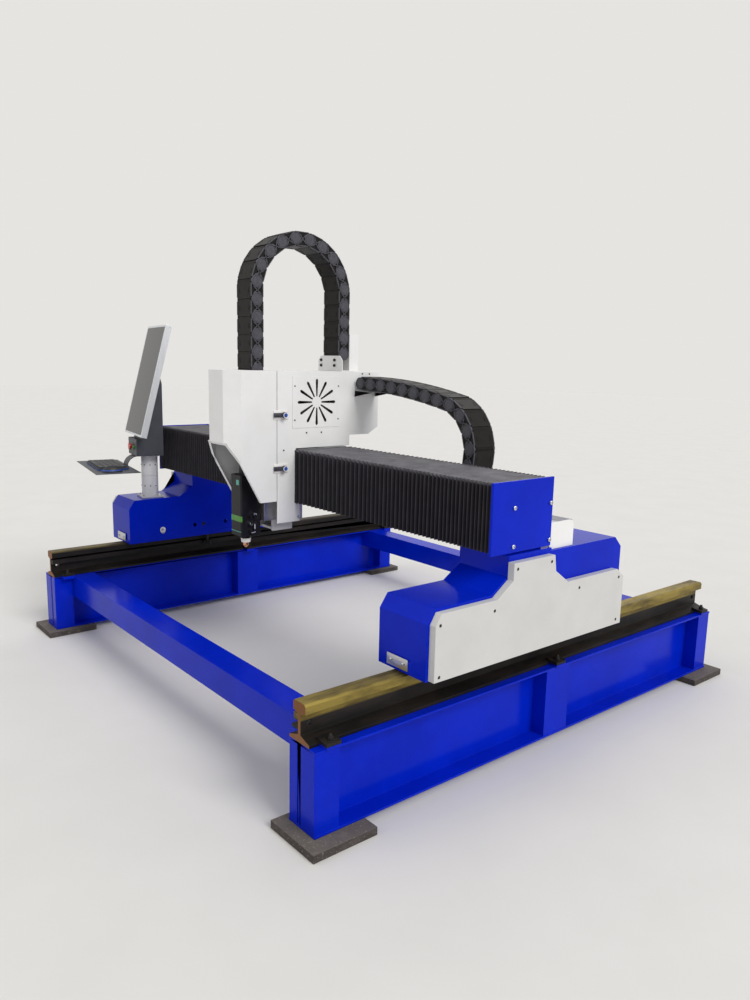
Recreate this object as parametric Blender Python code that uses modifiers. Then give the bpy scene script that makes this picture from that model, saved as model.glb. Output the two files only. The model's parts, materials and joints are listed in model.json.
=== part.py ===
# Laser cutting machine on ground rails: two rail beams on foot plates, a gantry that rolls
# along them, a carriage with the cutting head under a white housing, two energy chains and
# an operator console. Metres, +Z up. The origin is on the floor, under the front foot of
# the right hand beam. +X points to the right, +Y to the back.

import bmesh
import bpy
from math import cos, hypot, pi, radians, sin, tan
from mathutils import Matrix, Vector

# Gaps and cutter allowances
touch = 0.0003  # left between pieces that meet
bite = 0.001  # how far a welded piece reaches into the one that carries it
overrun = 0.02  # how far a cutter passes the face that it opens
run_gap = 0.0005  # round a sliding or turning piece

# Bed
rail_gauge = 2.5  # between the centres of the two beams
bed_length = 2.46
foot_width = 0.25
foot_length = 0.26
foot_thickness = 0.03
foot_overhang = 0.05  # past the end of the beam
foot_shift = 0.015  # the plates lie a little to the outside
beam_height = 0.30
beam_width = 0.15
beam_flange = 0.009
beam_web = 0.0065
end_stiffener = 0.10  # width along the beam
middle_stiffener = 0.15
stiffener_set_back = 0.003  # from the edges of the flange
tie_height = 0.12
tie_width = 0.12
tie_wall = 0.006
rail_height = 0.14
rail_base = 0.114
rail_base_edge = 0.011
rail_base_crown = 0.027
rail_web = 0.0145
rail_head = 0.070
rail_head_depth = 0.034
rail_head_crown = 0.042
rail_head_round = 0.007
rail_offset = 0.016  # the rail stands this far inside the centre of the beam
rack_depth = 0.028
rack_height = 0.025
rack_lift = 0.070  # from the foot of the rail to the underside of the rack
rack_set_back = 0.002  # from the ends of the rail

# Rail clamps
clamp_length = 0.060
clamp_thickness = 0.012
clamp_reach = 0.014  # over the foot of the rail
clamp_inset = 0.068  # from the end of the beam to the first clamp
clamp_depth = 0.042
clamp_bolt_flat = 0.011
clamp_bolt_head = 0.010
clamp_step = 0.003  # the packing block stands this far below the rail foot edge
clamp_rise = 0.005  # the plate slopes up over the foot

# Gantry trucks, side view sizes
truck_front = 0.34
truck_length = 1.11
truck_width = 0.25
truck_wall = 0.008
truck_clearance = 0.005  # over the rail
wing_height = 0.255
wing_length = 0.315
nose_run = 0.035
nose_drop = 0.050
slope_run = 0.085
slope_rise = 0.056
neck_height = 0.387
neck_length = 0.244
tail_height = 0.375
tail_cut = 0.043

# White covers on the outside of the trucks
cover_depth = 0.030
cover_sheet = 0.003
cover_inset = 0.010
cover_neck_drop = 0.021
cover_neck_cut = 0.014
cover_tail_height = 0.246
cover_tail_run = 0.081
cover_tail_cut = 0.037

# Wheels, drive pinions and motors of the trucks
wheel_radius = 0.060
wheel_width = 0.058
axle_radius = 0.015
wheel_inset = 0.204  # from the end of the truck to the axle
gear_module = 0.003
pinion_teeth = 12
tooth_share = 0.5  # of the pitch taken by a tooth
tooth_taper_share = 0.45  # of that left at the tip
dedendum_share = 1.25  # of the module
shaft_radius = 0.008
shelf_thickness = 0.012
shelf_length = 0.16
shelf_lift = 0.013  # over the underside of the truck
gearbox_side = 0.060
gearbox_height = 0.10
motor_side = 0.076
motor_height = 0.14
drive_inset = 0.12  # from the front of the neck to the drive shaft

# Scraper plates at both ends of the trucks
scraper_width = 0.104
scraper_height = 0.038
scraper_thickness = 0.004
scraper_lift = 0.010

# Gantry beam
gantry_inset = 0.020  # from the front of the neck to the face of the tube
gantry_side = 0.22
gantry_wall = 0.008
gantry_end_inset = 0.017  # from the outside of the truck to the end of the tube
end_plate_thickness = 0.012
end_plate_width = 0.337
end_plate_height = 0.266
end_plate_lift = 0.008  # over the neck
end_plate_front = 0.077  # from the face of the tube to the front edge
guide_width = 0.020
guide_height = 0.0175
guide_inset = 0.035  # from the edge of the tube to the middle of a guide
guide_end_gap = 0.15
top_rack_side = 0.022
top_rack_inset = 0.040

# Bellows
fold_count = 32
fold_depth = 0.022
fold_sheet = 0.0012
bellows_front = 0.077  # in front of the face of the tube
bellows_width = 0.337
bellows_top = 0.048  # over the tube
bellows_hem = 0.018  # front wall ends this far over the underside of the tube
bellows_lip = 0.060  # height of the rear wall

# Carriage
carriage_range = 0.75  # each way
housing_width = 0.25
housing_sheet = 0.003
plate_thickness = 0.024
plate_drop = 0.062  # under the tube
top_plate_thickness = 0.020
top_plate_lift = 0.033  # over the tube
top_plate_depth = 0.284
block_length = 0.063
block_width = 0.044
block_height = 0.030
block_spacing = 0.150
block_foot_gap = 0.0046

# Vertical axis
z_base_width = 0.140
z_base_depth = 0.095
z_base_wall = 0.012
z_base_bottom = 0.745
z_base_height = 0.655
z_guide_side = 0.015
slide_gap = 0.004
slide_half_width = 0.080
slide_bottom = 0.80
slide_height = 0.27
slide_depth = 0.0642
nut_width = 0.050
nut_height = 0.050
nut_drop = 0.010
screw_radius = 0.008
screw_inset = 0.048  # from the back of the base to the screw
z_motor_side = 0.080
z_motor_height = 0.085

# Cutting head
head_width = 0.095
head_depth = 0.104
head_bottom = 0.730
head_height = 0.288
head_edge = 0.006
fitting_radius = 0.006
fitting_length = 0.022
fitting_rows_share = (0.10, 0.22, 0.34)  # up the head
fitting_columns_share = (0.42, 0.62)  # back from the front of the head
collimator_radius = 0.028
collimator_height = 0.052
sensor_radius = 0.024
sensor_drop = 0.017  # under the head
ring_radius = 0.025
ring_height = 0.020
ring_taper = 0.004
nozzle_radius = 0.014
nozzle_tip_radius = 0.004
nozzle_height = 0.026
nozzle_bore = 0.0012
head_axis_inset = 0.052  # from the front of the head to the beam

# Housing, side view places
housing_front = 0.301
housing_top = 1.498
housing_rear = 1.145
seam = 0.545
seam_gap = 0.0012
front_chamfer = 0.060
face_bottom = 1.176
cover_bottom = 0.896
cover_heel = 0.458  # where the slanted lower edge meets the level one
rear_low = 1.227
rear_cut = 0.061
rear_underside = 1.191
notch_rear = 0.965
notch_top = 1.140
leg_rear = 0.649
leg_step = 0.875
leg_step_rear = 0.672
leg_bottom = 0.791
chain_opening_front = 0.430
vent_centre_y = 0.766
vent_centre_z = 1.354
vent_width = 0.274
vent_height = 0.240
vent_thickness = 0.0015
vent_radius = 0.103
vent_core_radius = 0.020
vent_slots = 12
vent_slot_width = 0.014
vent_hole_radius = 0.110
fan_radius = 0.095
fan_hub_radius = 0.030
fan_depth = 0.030
fan_blades = 5
fan_blade_depth = 0.003
fan_blade_width = 0.025
fan_blade_pitch = radians(40)
fan_boss_radius = 0.018
fan_boss_depth = 0.020
latch_heights = (1.298, 1.051)
latch_offset = 0.030  # from the seam to the knob
latch_arm = 0.062
latch_width = 0.020
latch_depth = 0.012
latch_knob_radius = 0.014
latch_knob_depth = 0.016

# Energy chains
link_pitch = 0.0775
link_height = 0.065
chain_width = 0.130
link_side = 0.004
lid_thickness = 0.0045
plate_end_share = 0.14  # of the pitch, where the straight edge of a side plate starts
notch_share = 0.78  # of half the link height, at the waist over each pivot
lid_start_share = 0.12  # of the pitch
lid_level_share = 0.84  # of half the link height
z_chain_lift = 0.082  # from the top of the housing to the first pivot
z_chain_rise = 0.31
z_chain_bend_radius = 0.245
z_chain_end_room = 0.036  # least height of the last pivot over the slide
x_chain_rear = 1.122
x_chain_start = 0.040  # from the side of the housing to the first pivot
x_chain_run = 0.62
x_chain_sag = radians(11.6)  # turn of the whole sagging run
x_chain_bend_radius = 0.21
x_chain_tray_run = 0.62
tray_sheet = 0.002
tray_lift = 0.084  # from the top of the trucks to the floor of the tray
tray_clearance = 0.003
tray_wall_height = 0.020
tray_end_height = 0.105
tray_end_round = 0.025
bracket_sheet = 0.004
bracket_height = 0.075
bracket_width = 0.200
bracket_cut = 0.022
upright_height = 0.180
upright_flange = 0.055
shelf_reach = 0.150
shelf_flange = 0.030
slide_tab_height = 0.10
slide_tab_inset = 0.012  # from the front of the slide to the front of its tab

# Console, in its own axes: u to the operator's right, v to the back, both from the column
console_inset = 0.03  # from the centre of the left beam, towards the inside
console_y = 0.512
console_turn = radians(-10)
base_plate_side = 0.125
base_plate_thickness = 0.010
column_radius = 0.0475
lower_column = 0.12
upper_column = 0.112
neck_flange_radius = 0.058
neck_flange_height = 0.010
console_box_width = 0.20
console_box_back = 0.060
console_box_front = 0.095
console_box_height = 0.50
console_box_shoulder = 0.414
console_panel_height = 0.097
monitor_width = 0.406
monitor_height = 0.646
monitor_depth = 0.035
monitor_lean = radians(14.2)
monitor_lift = 0.119  # from the foot of the box to the lower front edge
monitor_front = 0.093
bezel = 0.012
glass_depth = 0.005
stop_radius = 0.020
stop_height = 0.022
stop_stem = 0.011
stop_travel = 0.005
plunger_depth = 0.004  # how deep both buttons sit in the panel
stop_lift = 0.050
button_radius = 0.011
button_height = 0.010
button_offset = 0.050
tray_width = 0.62
tray_depth = 0.24
tray_front = 0.36
tray_thickness = 0.003
tray_drop = 0.063
arm_width = 0.10
arm_thickness = 0.004
arm_gap = 0.003  # between the foot of the arm and the neck flange
arm_bend = 0.075  # from the column to the middle of the bend
keyboard_width = 0.365
keyboard_depth = 0.165
keyboard_height = 0.014
keyboard_left = 0.200
keyboard_front = 0.320
key_rows = 5
key_height = 0.006
key_margin = 0.010
key_row_share = 0.8  # of a row taken by its keys
mouse_width = 0.070
mouse_length = 0.115
mouse_height = 0.036
mouse_right = 0.225
mouse_front = 0.315

round_sides = 16
fine_sides = 24
bolt_sides = 6
button_sides = 12
flat_angle = radians(0.1)  # faces closer than this are one face
sharp_angle = radians(40)  # round pieces keep edges sharper than this

# Places worked out from the sizes above
bed_front = foot_overhang - foot_length / 2
bed_rear = bed_front + bed_length
beam_bottom = foot_thickness + touch
beam_top = beam_bottom + beam_height
rail_bottom = beam_top + touch
rail_top = rail_bottom + rail_height
middle_x = -rail_gauge / 2
truck_rear = truck_front + truck_length
truck_bottom = rail_top + truck_clearance
wing_top = truck_bottom + wing_height
neck_front = truck_front + wing_length + slope_run
neck_rear = neck_front + neck_length
neck_top = truck_bottom + neck_height
tail_top = truck_bottom + tail_height
gantry_face = neck_front - gantry_inset
gantry_rear = gantry_face + gantry_side
gantry_bottom = neck_top + touch
gantry_top = gantry_bottom + gantry_side
gantry_end = truck_width / 2 - gantry_end_inset
plate_back = gantry_face - block_height - touch
plate_front = plate_back - plate_thickness
z_base_back = plate_front - touch
z_base_front = z_base_back - z_base_depth
screw_y = z_base_back - screw_inset
slide_back = z_base_front - slide_gap
slide_front = slide_back - slide_depth
slide_top = slide_bottom + slide_height
tab_front = slide_front + slide_tab_inset
head_back = slide_front - touch
head_front = head_back - head_depth
beam_axis_y = head_front + head_axis_inset
pitch_radius = gear_module * pinion_teeth / 2
rack_root = gear_module * dedendum_share
column_foot = wing_top + touch
upper_column_foot = column_foot + base_plate_thickness + lower_column + touch
box_foot = upper_column_foot + upper_column + neck_flange_height + touch
beams = {"right": (0, 1), "left": (-rail_gauge, -1)}  # centre, and which way is outward

for old in list(bpy.data.objects):
    bpy.data.objects.remove(old, do_unlink=True)

machine = bpy.data.collections.new("laser_cutting_machine")
bpy.context.scene.collection.children.link(machine)

looks = {
    "blue": ((0.004, 0.012, 0.48), 0.28, 0.0),
    "white": ((0.82, 0.82, 0.80), 0.35, 0.0),
    "stone": ((0.10, 0.09, 0.08), 0.85, 0.0),
    "rail": ((0.16, 0.13, 0.05), 0.45, 0.6),
    "steel": ((0.55, 0.56, 0.58), 0.35, 1.0),
    "black": ((0.02, 0.02, 0.022), 0.45, 0.0),
    "bellows": ((0.03, 0.028, 0.03), 0.75, 0.0),
    "chain": ((0.035, 0.036, 0.04), 0.5, 0.0),
    "aluminium": ((0.70, 0.70, 0.71), 0.35, 1.0),
    "console": ((0.055, 0.055, 0.065), 0.5, 0.0),
    "column": ((0.60, 0.61, 0.63), 0.4, 0.0),
    "glass": ((0.05, 0.06, 0.06), 0.08, 0.0),
    "ceramic": ((0.85, 0.83, 0.80), 0.3, 0.0),
    "copper": ((0.72, 0.36, 0.18), 0.3, 1.0),
    "red": ((0.60, 0.01, 0.01), 0.35, 0.0),
    "green": ((0.02, 0.35, 0.08), 0.35, 0.0),
}


def carrier(name, place, turn=0):
    """An empty that carries the pieces of one moving group."""
    empty = bpy.data.objects.new(name, None)
    empty.location = place
    empty.rotation_euler = (0, 0, turn)
    bpy.context.scene.collection.objects.link(empty)
    bpy.context.view_layer.update()
    return empty


def piece(obj, name, look, parent=None, local=False):
    """Names a finished object, gives it its own material and hangs it on its carrier."""
    obj.name = name
    obj.data.name = name
    colour, roughness, metallic = looks[look]
    material = bpy.data.materials.new(name)
    material.use_nodes = True
    shader = material.node_tree.nodes["Principled BSDF"]
    shader.inputs["Base Color"].default_value = (*colour, 1)
    shader.inputs["Roughness"].default_value = roughness
    shader.inputs["Metallic"].default_value = metallic
    obj.data.materials.clear()
    obj.data.materials.append(material)
    for collection in list(obj.users_collection):
        collection.objects.unlink(obj)
    machine.objects.link(obj)
    if parent:
        obj.parent = parent
        if not local:
            obj.matrix_parent_inverse = parent.matrix_world.inverted()
    return obj


def box(low, high):
    """A box between two corners."""
    low, high = Vector(low), Vector(high)
    bpy.ops.mesh.primitive_cube_add(size=1, location=(low + high) / 2)
    obj = bpy.context.object
    obj.scale = high - low
    bpy.ops.object.transform_apply(location=False, rotation=False, scale=True)
    return obj


turns = {"X": (pi / 2, 0, pi / 2), "Y": (pi / 2, 0, 0), "Z": (0, 0, 0)}


def rod(radius, length, centre, facing="Z", sides=round_sides):
    """A cylinder along one axis."""
    bpy.ops.mesh.primitive_cylinder_add(vertices=sides, radius=radius, depth=length, location=centre)
    obj = bpy.context.object
    obj.rotation_euler = turns[facing]
    bpy.context.view_layer.update()
    return obj


def prism(outline, start, stop, facing, holes=()):
    """A flat outline with its holes, carried along one axis from start to stop."""
    curve = bpy.data.curves.new("outline", "CURVE")
    curve.dimensions = "2D"
    curve.fill_mode = "BOTH"
    curve.extrude = abs(stop - start) / 2
    for points in (outline, *holes):
        spline = curve.splines.new("POLY")
        spline.points.add(len(points) - 1)
        for point, (a, b) in zip(spline.points, points):
            point.co = (a, b, 0, 1)
        spline.use_cyclic_u = True
    drawn = bpy.data.objects.new("outline", curve)
    bpy.context.scene.collection.objects.link(drawn)
    bpy.context.view_layer.update()
    graph = bpy.context.evaluated_depsgraph_get()
    mesh = bpy.data.meshes.new_from_object(drawn.evaluated_get(graph))
    bpy.data.objects.remove(drawn)
    shape = bmesh.new()
    shape.from_mesh(mesh)
    bmesh.ops.remove_doubles(shape, verts=shape.verts, dist=touch / 10)
    bmesh.ops.dissolve_limit(shape, angle_limit=flat_angle, verts=shape.verts, edges=shape.edges)
    bmesh.ops.recalc_face_normals(shape, faces=shape.faces)
    shape.to_mesh(mesh)
    shape.free()
    obj = bpy.data.objects.new("prism", mesh)
    middle = (start + stop) / 2
    obj.location = {"X": (middle, 0, 0), "Y": (0, middle, 0), "Z": (0, 0, middle)}[facing]
    obj.rotation_euler = turns[facing]
    bpy.context.scene.collection.objects.link(obj)
    bpy.context.view_layer.update()
    return obj


def combine(target, tools, operation):
    """Joins pieces to the target, or cuts them out of it, and removes them."""
    for tool in tools:
        modifier = target.modifiers.new(operation.lower(), "BOOLEAN")
        modifier.operation = operation
        modifier.solver = "EXACT"
        modifier.object = tool
        bpy.context.view_layer.objects.active = target
        bpy.ops.object.modifier_apply(modifier=modifier.name)
        bpy.data.objects.remove(tool)
    return target


def weld(target, *tools):
    return combine(target, tools, "UNION")


def cut(target, *tools):
    return combine(target, tools, "DIFFERENCE")


def group(members):
    """Several separate solids in one object."""
    bpy.ops.object.select_all(action="DESELECT")
    for member in members:
        member.select_set(True)
    bpy.context.view_layer.objects.active = members[0]
    bpy.ops.object.join()
    return bpy.context.object


def smooth(obj):
    """Round pieces are shaded smooth and keep their sharp edges."""
    obj.data.shade_smooth()
    obj.data.set_sharp_from_angle(angle=sharp_angle)
    return obj


def arc(centre, radius, first, last, steps):
    """Points on an arc, angles in radians."""
    turn = (last - first) / steps
    return [
        (centre[0] + radius * cos(first + turn * k), centre[1] + radius * sin(first + turn * k))
        for k in range(steps + 1)
    ]


def gear_outline(teeth, module):
    """Plain straight sided teeth, tip and root each two points wide."""
    pitch = 2 * pi / teeth
    tip = module * (teeth / 2 + 1)
    root = module * (teeth / 2 - dedendum_share)
    wide = pitch * tooth_share / 2 * (2 - tooth_taper_share)
    narrow = pitch * tooth_share / 2 * tooth_taper_share
    points = []
    for k in range(teeth):
        for radius, angle in ((root, -wide), (tip, -narrow), (tip, narrow), (root, wide)):
            points.append((radius * cos(pitch * k + angle), radius * sin(pitch * k + angle)))
    return points


# Carriers. Each stands on the axis of its joint.
gantry = carrier("gantry_travel", (middle_x, truck_front, truck_bottom))
carriage = carrier("carriage_travel", (middle_x, gantry_face, gantry_bottom))
z_slide = carrier("z_travel", (middle_x, screw_y, slide_bottom))
console = carrier("console_swivel", (console_inset - rail_gauge, console_y, 0), console_turn)
carriage.parent = gantry
carriage.matrix_parent_inverse = gantry.matrix_world.inverted()
z_slide.parent = carriage
z_slide.matrix_parent_inverse = carriage.matrix_world.inverted()
console.parent = gantry
console.matrix_parent_inverse = gantry.matrix_world.inverted()
bpy.context.view_layer.update()


# Bed: beams, feet, ties, rails
def make_beam(side):
    """A wide flange beam with box stiffeners, cut from a bar, and the blocks of the rail clamps."""
    centre, outward = beams[side]
    half, web = beam_width / 2, beam_web / 2
    low, high = beam_bottom + beam_flange, beam_top - beam_flange
    beam = box((centre - half, bed_front, beam_bottom), (centre + half, bed_rear, beam_top))
    middle = (bed_front + bed_rear) / 2
    pockets = (
        (bed_front + end_stiffener, middle - middle_stiffener / 2),
        (middle + middle_stiffener / 2, bed_rear - end_stiffener),
    )
    for way in (-1, 1):
        face, floor = centre + way * (half - stiffener_set_back), centre + way * web
        out = centre + way * (half + overrun)
        relief = box(
            (min(face, out), bed_front - overrun, low), (max(face, out), bed_rear + overrun, high)
        )
        cut(beam, relief)
        for start, stop in pockets:
            cut(beam, box((min(floor, out), start, low), (max(floor, out), stop, high)))
        edge = rail_centre(side) + way * (rail_base / 2 + touch)
        outer = edge + way * clamp_depth
        foot = beam_top - bite if way == outward else beam_top - beam_flange + bite
        for y in clamp_places():
            block = box(
                (min(edge, outer), y - clamp_length / 2, foot),
                (max(edge, outer), y + clamp_length / 2, rail_bottom + rail_base_edge - clamp_step),
            )
            weld(beam, block)
    piece(beam, "beam_" + side, "blue")


def clamp_places():
    return bed_front + clamp_inset, (bed_front + bed_rear) / 2, bed_rear - clamp_inset


def make_feet():
    for side, (centre, outward) in beams.items():
        for end, face, way in (("front", bed_front, -1), ("rear", bed_rear, 1)):
            outer = face + way * foot_overhang
            inner = outer - way * foot_length
            x = centre + outward * foot_shift
            foot = box(
                (x - foot_width / 2, min(inner, outer), 0),
                (x + foot_width / 2, max(inner, outer), foot_thickness),
            )
            piece(foot, "foot_plate_%s_%s" % (end, side), "stone")


def make_tie(name, y):
    """A square tube between the webs, level with the beams and coped under their flanges."""
    top = beam_top
    low = top - tie_height
    half, inner = tie_width / 2, tie_width / 2 - tie_wall
    outline = [(y - half, low), (y + half, low), (y + half, top), (y - half, top)]
    hole = [
        (y - inner, low + tie_wall), (y + inner, low + tie_wall),
        (y + inner, top - tie_wall), (y - inner, top - tie_wall),
    ]
    reach = beam_web / 2 + touch
    tie = prism(outline, -rail_gauge + reach, -reach, "X", [hole])
    flange = beam_width / 2 + touch
    for centre, outward in beams.values():
        low_corner = (centre - flange, y - half - overrun, beam_top - beam_flange - touch)
        cut(tie, box(low_corner, (centre + flange, y + half + overrun, beam_top + overrun)))
    piece(tie, name, "blue")


def rail_centre(side):
    centre, outward = beams[side]
    return centre - outward * rail_offset


def make_rail(side):
    """A crane rail with the rack on its inner side and the clamp plates on its foot."""
    x = rail_centre(side)
    centre, outward = beams[side]
    half = [
        (rail_base / 2, 0), (rail_base / 2, rail_base_edge), (rail_web / 2, rail_base_crown),
        (rail_web / 2, rail_height - rail_head_crown), (rail_head / 2, rail_height - rail_head_depth),
        (rail_head / 2, rail_height - rail_head_round), (rail_head / 2 - rail_head_round, rail_height),
    ]
    outline = [(x + a, rail_bottom + b) for a, b in half]
    outline += [(x - a, rail_bottom + b) for a, b in reversed(half)]
    rail = prism(outline, bed_front, bed_rear, "Y")
    near, far = x - outward * (rail_web / 2 - bite), x - outward * (rail_web / 2 + rack_depth)
    low = rail_bottom + rack_lift
    rack = box(
        (min(near, far), bed_front + rack_set_back, low),
        (max(near, far), bed_rear - rack_set_back, low + rack_height),
    )
    weld(rail, rack)
    block_top = rail_bottom + rail_base_edge - clamp_step + touch
    step = rail_bottom + rail_base_edge - bite
    for way in (-1, 1):
        edge = x + way * rail_base / 2
        outer = edge + way * (clamp_depth + touch)
        reach = edge - way * clamp_reach
        heel = edge + way * touch
        outline = [
            (heel, block_top), (outer, block_top), (outer, block_top + clamp_thickness),
            (reach, step + clamp_rise + clamp_thickness), (reach, step), (heel, step),
        ]
        bolt_z = block_top + clamp_thickness + (clamp_bolt_head - clamp_step) / 2
        for y in clamp_places():
            plate = prism(outline, y - clamp_length / 2, y + clamp_length / 2, "Y")
            bolt_place = ((heel + outer) / 2, y, bolt_z)
            bolt = rod(clamp_bolt_flat, clamp_bolt_head + clamp_step, bolt_place, sides=bolt_sides)
            weld(rail, weld(plate, bolt))
    piece(rail, "rail_" + side, "rail")


# Gantry trucks
def truck_outline(inset=0, drop=0):
    """Side view of a truck; inset draws the inner wall, drop lowers its open underside."""
    low = truck_bottom - drop
    rise = slope_rise / slope_run
    lift = inset * (hypot(1, rise) - rise)
    nose = inset * (hypot(nose_run, nose_drop) - nose_run) / nose_drop
    return [
        (truck_front + inset, low), (truck_front + inset, wing_top - nose_drop),
        (truck_front + nose_run + nose * nose_drop / nose_run / 2, wing_top - inset),
        (neck_front - slope_run + lift, wing_top - inset),
        (neck_front + inset, wing_top + slope_rise - inset * rise / 2),
        (neck_front + inset, neck_top - inset), (neck_rear - inset, neck_top - inset),
        (neck_rear - inset, tail_top - inset), (truck_rear - tail_cut, tail_top - inset),
        (truck_rear - inset, tail_top - tail_cut), (truck_rear - inset, low),
    ]


def cover_outline(inset=0):
    front, rear = truck_front + cover_inset + inset, truck_rear - cover_inset - inset
    low = truck_bottom + cover_inset / 2 + inset
    top = wing_top - cover_inset - inset
    tail = truck_bottom + cover_tail_height - inset
    neck = neck_top - cover_neck_drop - inset
    neck_start = neck_front - cover_inset / 2 + inset
    neck_end = neck_rear - cover_neck_cut - inset
    return [
        (front, low), (front, wing_top - nose_drop), (truck_front + nose_run + inset, top),
        (neck_front - slope_run + inset / 2, top), (neck_start, wing_top + slope_rise - cover_inset),
        (neck_start, neck), (neck_end, neck), (neck_end + cover_inset, tail + slope_rise),
        (neck_end + cover_inset + cover_tail_run, tail),
        (rear - cover_tail_cut - cover_inset, tail), (rear, tail - cover_tail_cut), (rear, low),
    ]


def drive_place(side):
    """Axis of a rail pinion: its teeth reach the rack on the inner side of the rail."""
    centre, outward = beams[side]
    rack_face = rail_centre(side) - outward * (rail_web / 2 + touch + rack_depth)
    return rack_face - outward * (rack_root + pitch_radius), neck_front + drive_inset


def axle_places():
    return {"front": truck_front + wheel_inset, "rear": truck_rear - wheel_inset}


def make_truck(side):
    centre, outward = beams[side]
    half = truck_width / 2
    body = prism(truck_outline(), centre - half, centre + half, "X")
    inside = half - truck_wall
    cut(body, prism(truck_outline(truck_wall, overrun), centre - inside, centre + inside, "X"))
    axle_height = rail_top + touch + wheel_radius
    for y in axle_places().values():
        hole = rod(axle_radius + run_gap, truck_width + overrun, (centre, y, axle_height), "X")
        cut(body, hole)
    x, y = drive_place(side)
    shelf_low = truck_bottom + shelf_lift
    shelf = box(
        (centre - inside - bite, y - shelf_length / 2, shelf_low),
        (centre + inside + bite, y + shelf_length / 2, shelf_low + shelf_thickness),
    )
    cut(shelf, rod(shaft_radius + run_gap, shelf_thickness + overrun, (x, y, shelf_low)))
    weld(body, shelf)
    low = truck_bottom + scraper_lift
    for face, way in ((truck_front, -1), (truck_rear, 1)):
        near, far = face - way * bite, face + way * scraper_thickness
        scraper = box(
            (centre - scraper_width / 2, min(near, far), low),
            (centre + scraper_width / 2, max(near, far), low + scraper_height),
        )
        weld(body, scraper)
    piece(body, "truck_" + side, "blue", gantry)


def make_truck_cover(side):
    centre, outward = beams[side]
    inner = centre + outward * (truck_width / 2 + touch)
    outer = inner + outward * cover_depth
    pan = prism(cover_outline(), inner, outer, "X")
    hollow = prism(
        cover_outline(cover_sheet), inner - outward * overrun, outer - outward * cover_sheet, "X"
    )
    piece(cut(pan, hollow), "truck_cover_" + side, "white", gantry)


def make_wheel(side, end, y):
    """A load wheel turned in one with its axle."""
    centre, outward = beams[side]
    height = rail_top + touch + wheel_radius
    half = truck_width / 2
    offset = -outward * rail_offset
    profile = [
        (0, half), (axle_radius, half), (axle_radius, offset + wheel_width / 2),
        (wheel_radius, offset + wheel_width / 2), (wheel_radius, offset - wheel_width / 2),
        (axle_radius, offset - wheel_width / 2), (axle_radius, -half), (0, -half),
    ]
    wheel = turned(profile)
    wheel.location = (centre, y, height)
    wheel.rotation_euler = (0, pi / 2, 0)
    piece(wheel, "wheel_%s_%s" % (end, side), "steel", gantry)


def turned(profile, sides=round_sides, closed=False):
    """A profile of (radius, height) points, top to bottom, spun round Z."""
    shape = bmesh.new()
    points = [shape.verts.new((radius, 0, height)) for radius, height in profile]
    pairs = list(zip(points, points[1:]))
    if closed:
        pairs.append((points[-1], points[0]))
    for first, second in pairs:
        shape.edges.new((first, second))
    mesh = bpy.data.meshes.new("turned")
    shape.to_mesh(mesh)
    shape.free()
    obj = bpy.data.objects.new("turned", mesh)
    bpy.context.scene.collection.objects.link(obj)
    spin = obj.modifiers.new("spin", "SCREW")
    spin.steps = sides
    spin.render_steps = sides
    spin.use_merge_vertices = True
    spin.merge_threshold = touch / 10
    spin.use_smooth_shade = True
    return obj


def make_pinion(name, x, y, low, height, top, parent):
    """A spur pinion in one with its shaft."""
    gear = prism(
        [(a, b) for a, b in gear_outline(pinion_teeth, gear_module)], low, low + height, "Z"
    )
    shaft = rod(shaft_radius, top - low - height + bite, (0, 0, (top + low + height - bite) / 2))
    weld(gear, shaft)
    gear.location.x, gear.location.y = x, y
    piece(smooth(gear), name, "steel", parent)


def make_truck_motor(side):
    x, y = drive_place(side)
    foot = truck_bottom + shelf_lift + shelf_thickness + touch
    half, wide = gearbox_side / 2, motor_side / 2
    centre, outward = beams[side]
    middle = foot + gearbox_height
    shift = outward * (wide - half)
    gearbox = box((x - half, y - half, foot), (x + half, y + half, middle + bite))
    motor = box(
        (x - wide + shift, y - wide, middle), (x + wide + shift, y + wide, middle + motor_height)
    )
    piece(weld(gearbox, motor), "y_motor_" + side, "black", gantry)


# Gantry beam with what is bolted to it
def make_gantry_beam():
    left, right = -rail_gauge - gantry_end, gantry_end
    outline = [
        (gantry_face, gantry_bottom), (gantry_rear, gantry_bottom),
        (gantry_rear, gantry_top), (gantry_face, gantry_top),
    ]
    inner = [
        (gantry_face + gantry_wall, gantry_bottom + gantry_wall),
        (gantry_rear - gantry_wall, gantry_bottom + gantry_wall),
        (gantry_rear - gantry_wall, gantry_top - gantry_wall),
        (gantry_face + gantry_wall, gantry_top - gantry_wall),
    ]
    tube = prism(outline, left, right, "X", [inner])
    rack_front = gantry_face + top_rack_inset
    rack = box(
        (left + guide_end_gap, rack_front, gantry_top - bite),
        (right - guide_end_gap, rack_front + top_rack_side, gantry_top + top_rack_side),
    )
    weld(tube, rack)
    for z in guide_heights():
        guide = box(
            (left + guide_end_gap, gantry_face - touch - guide_height, z - guide_width / 2),
            (right - guide_end_gap, gantry_face + bite, z + guide_width / 2),
        )
        weld(tube, guide)
    piece(tube, "gantry_beam", "blue", gantry)


def make_end_plate(side):
    low = neck_top + end_plate_lift
    front = gantry_face - end_plate_front
    centre, outward = beams[side]
    inner = centre + outward * (gantry_end + touch)
    outer = inner + outward * end_plate_thickness
    plate = box(
        (min(inner, outer), front, low),
        (max(inner, outer), front + end_plate_width, low + end_plate_height),
    )
    piece(plate, "end_plate_" + side, "blue", gantry)


def guide_heights():
    return (gantry_bottom + guide_inset, gantry_top - guide_inset)


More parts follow.
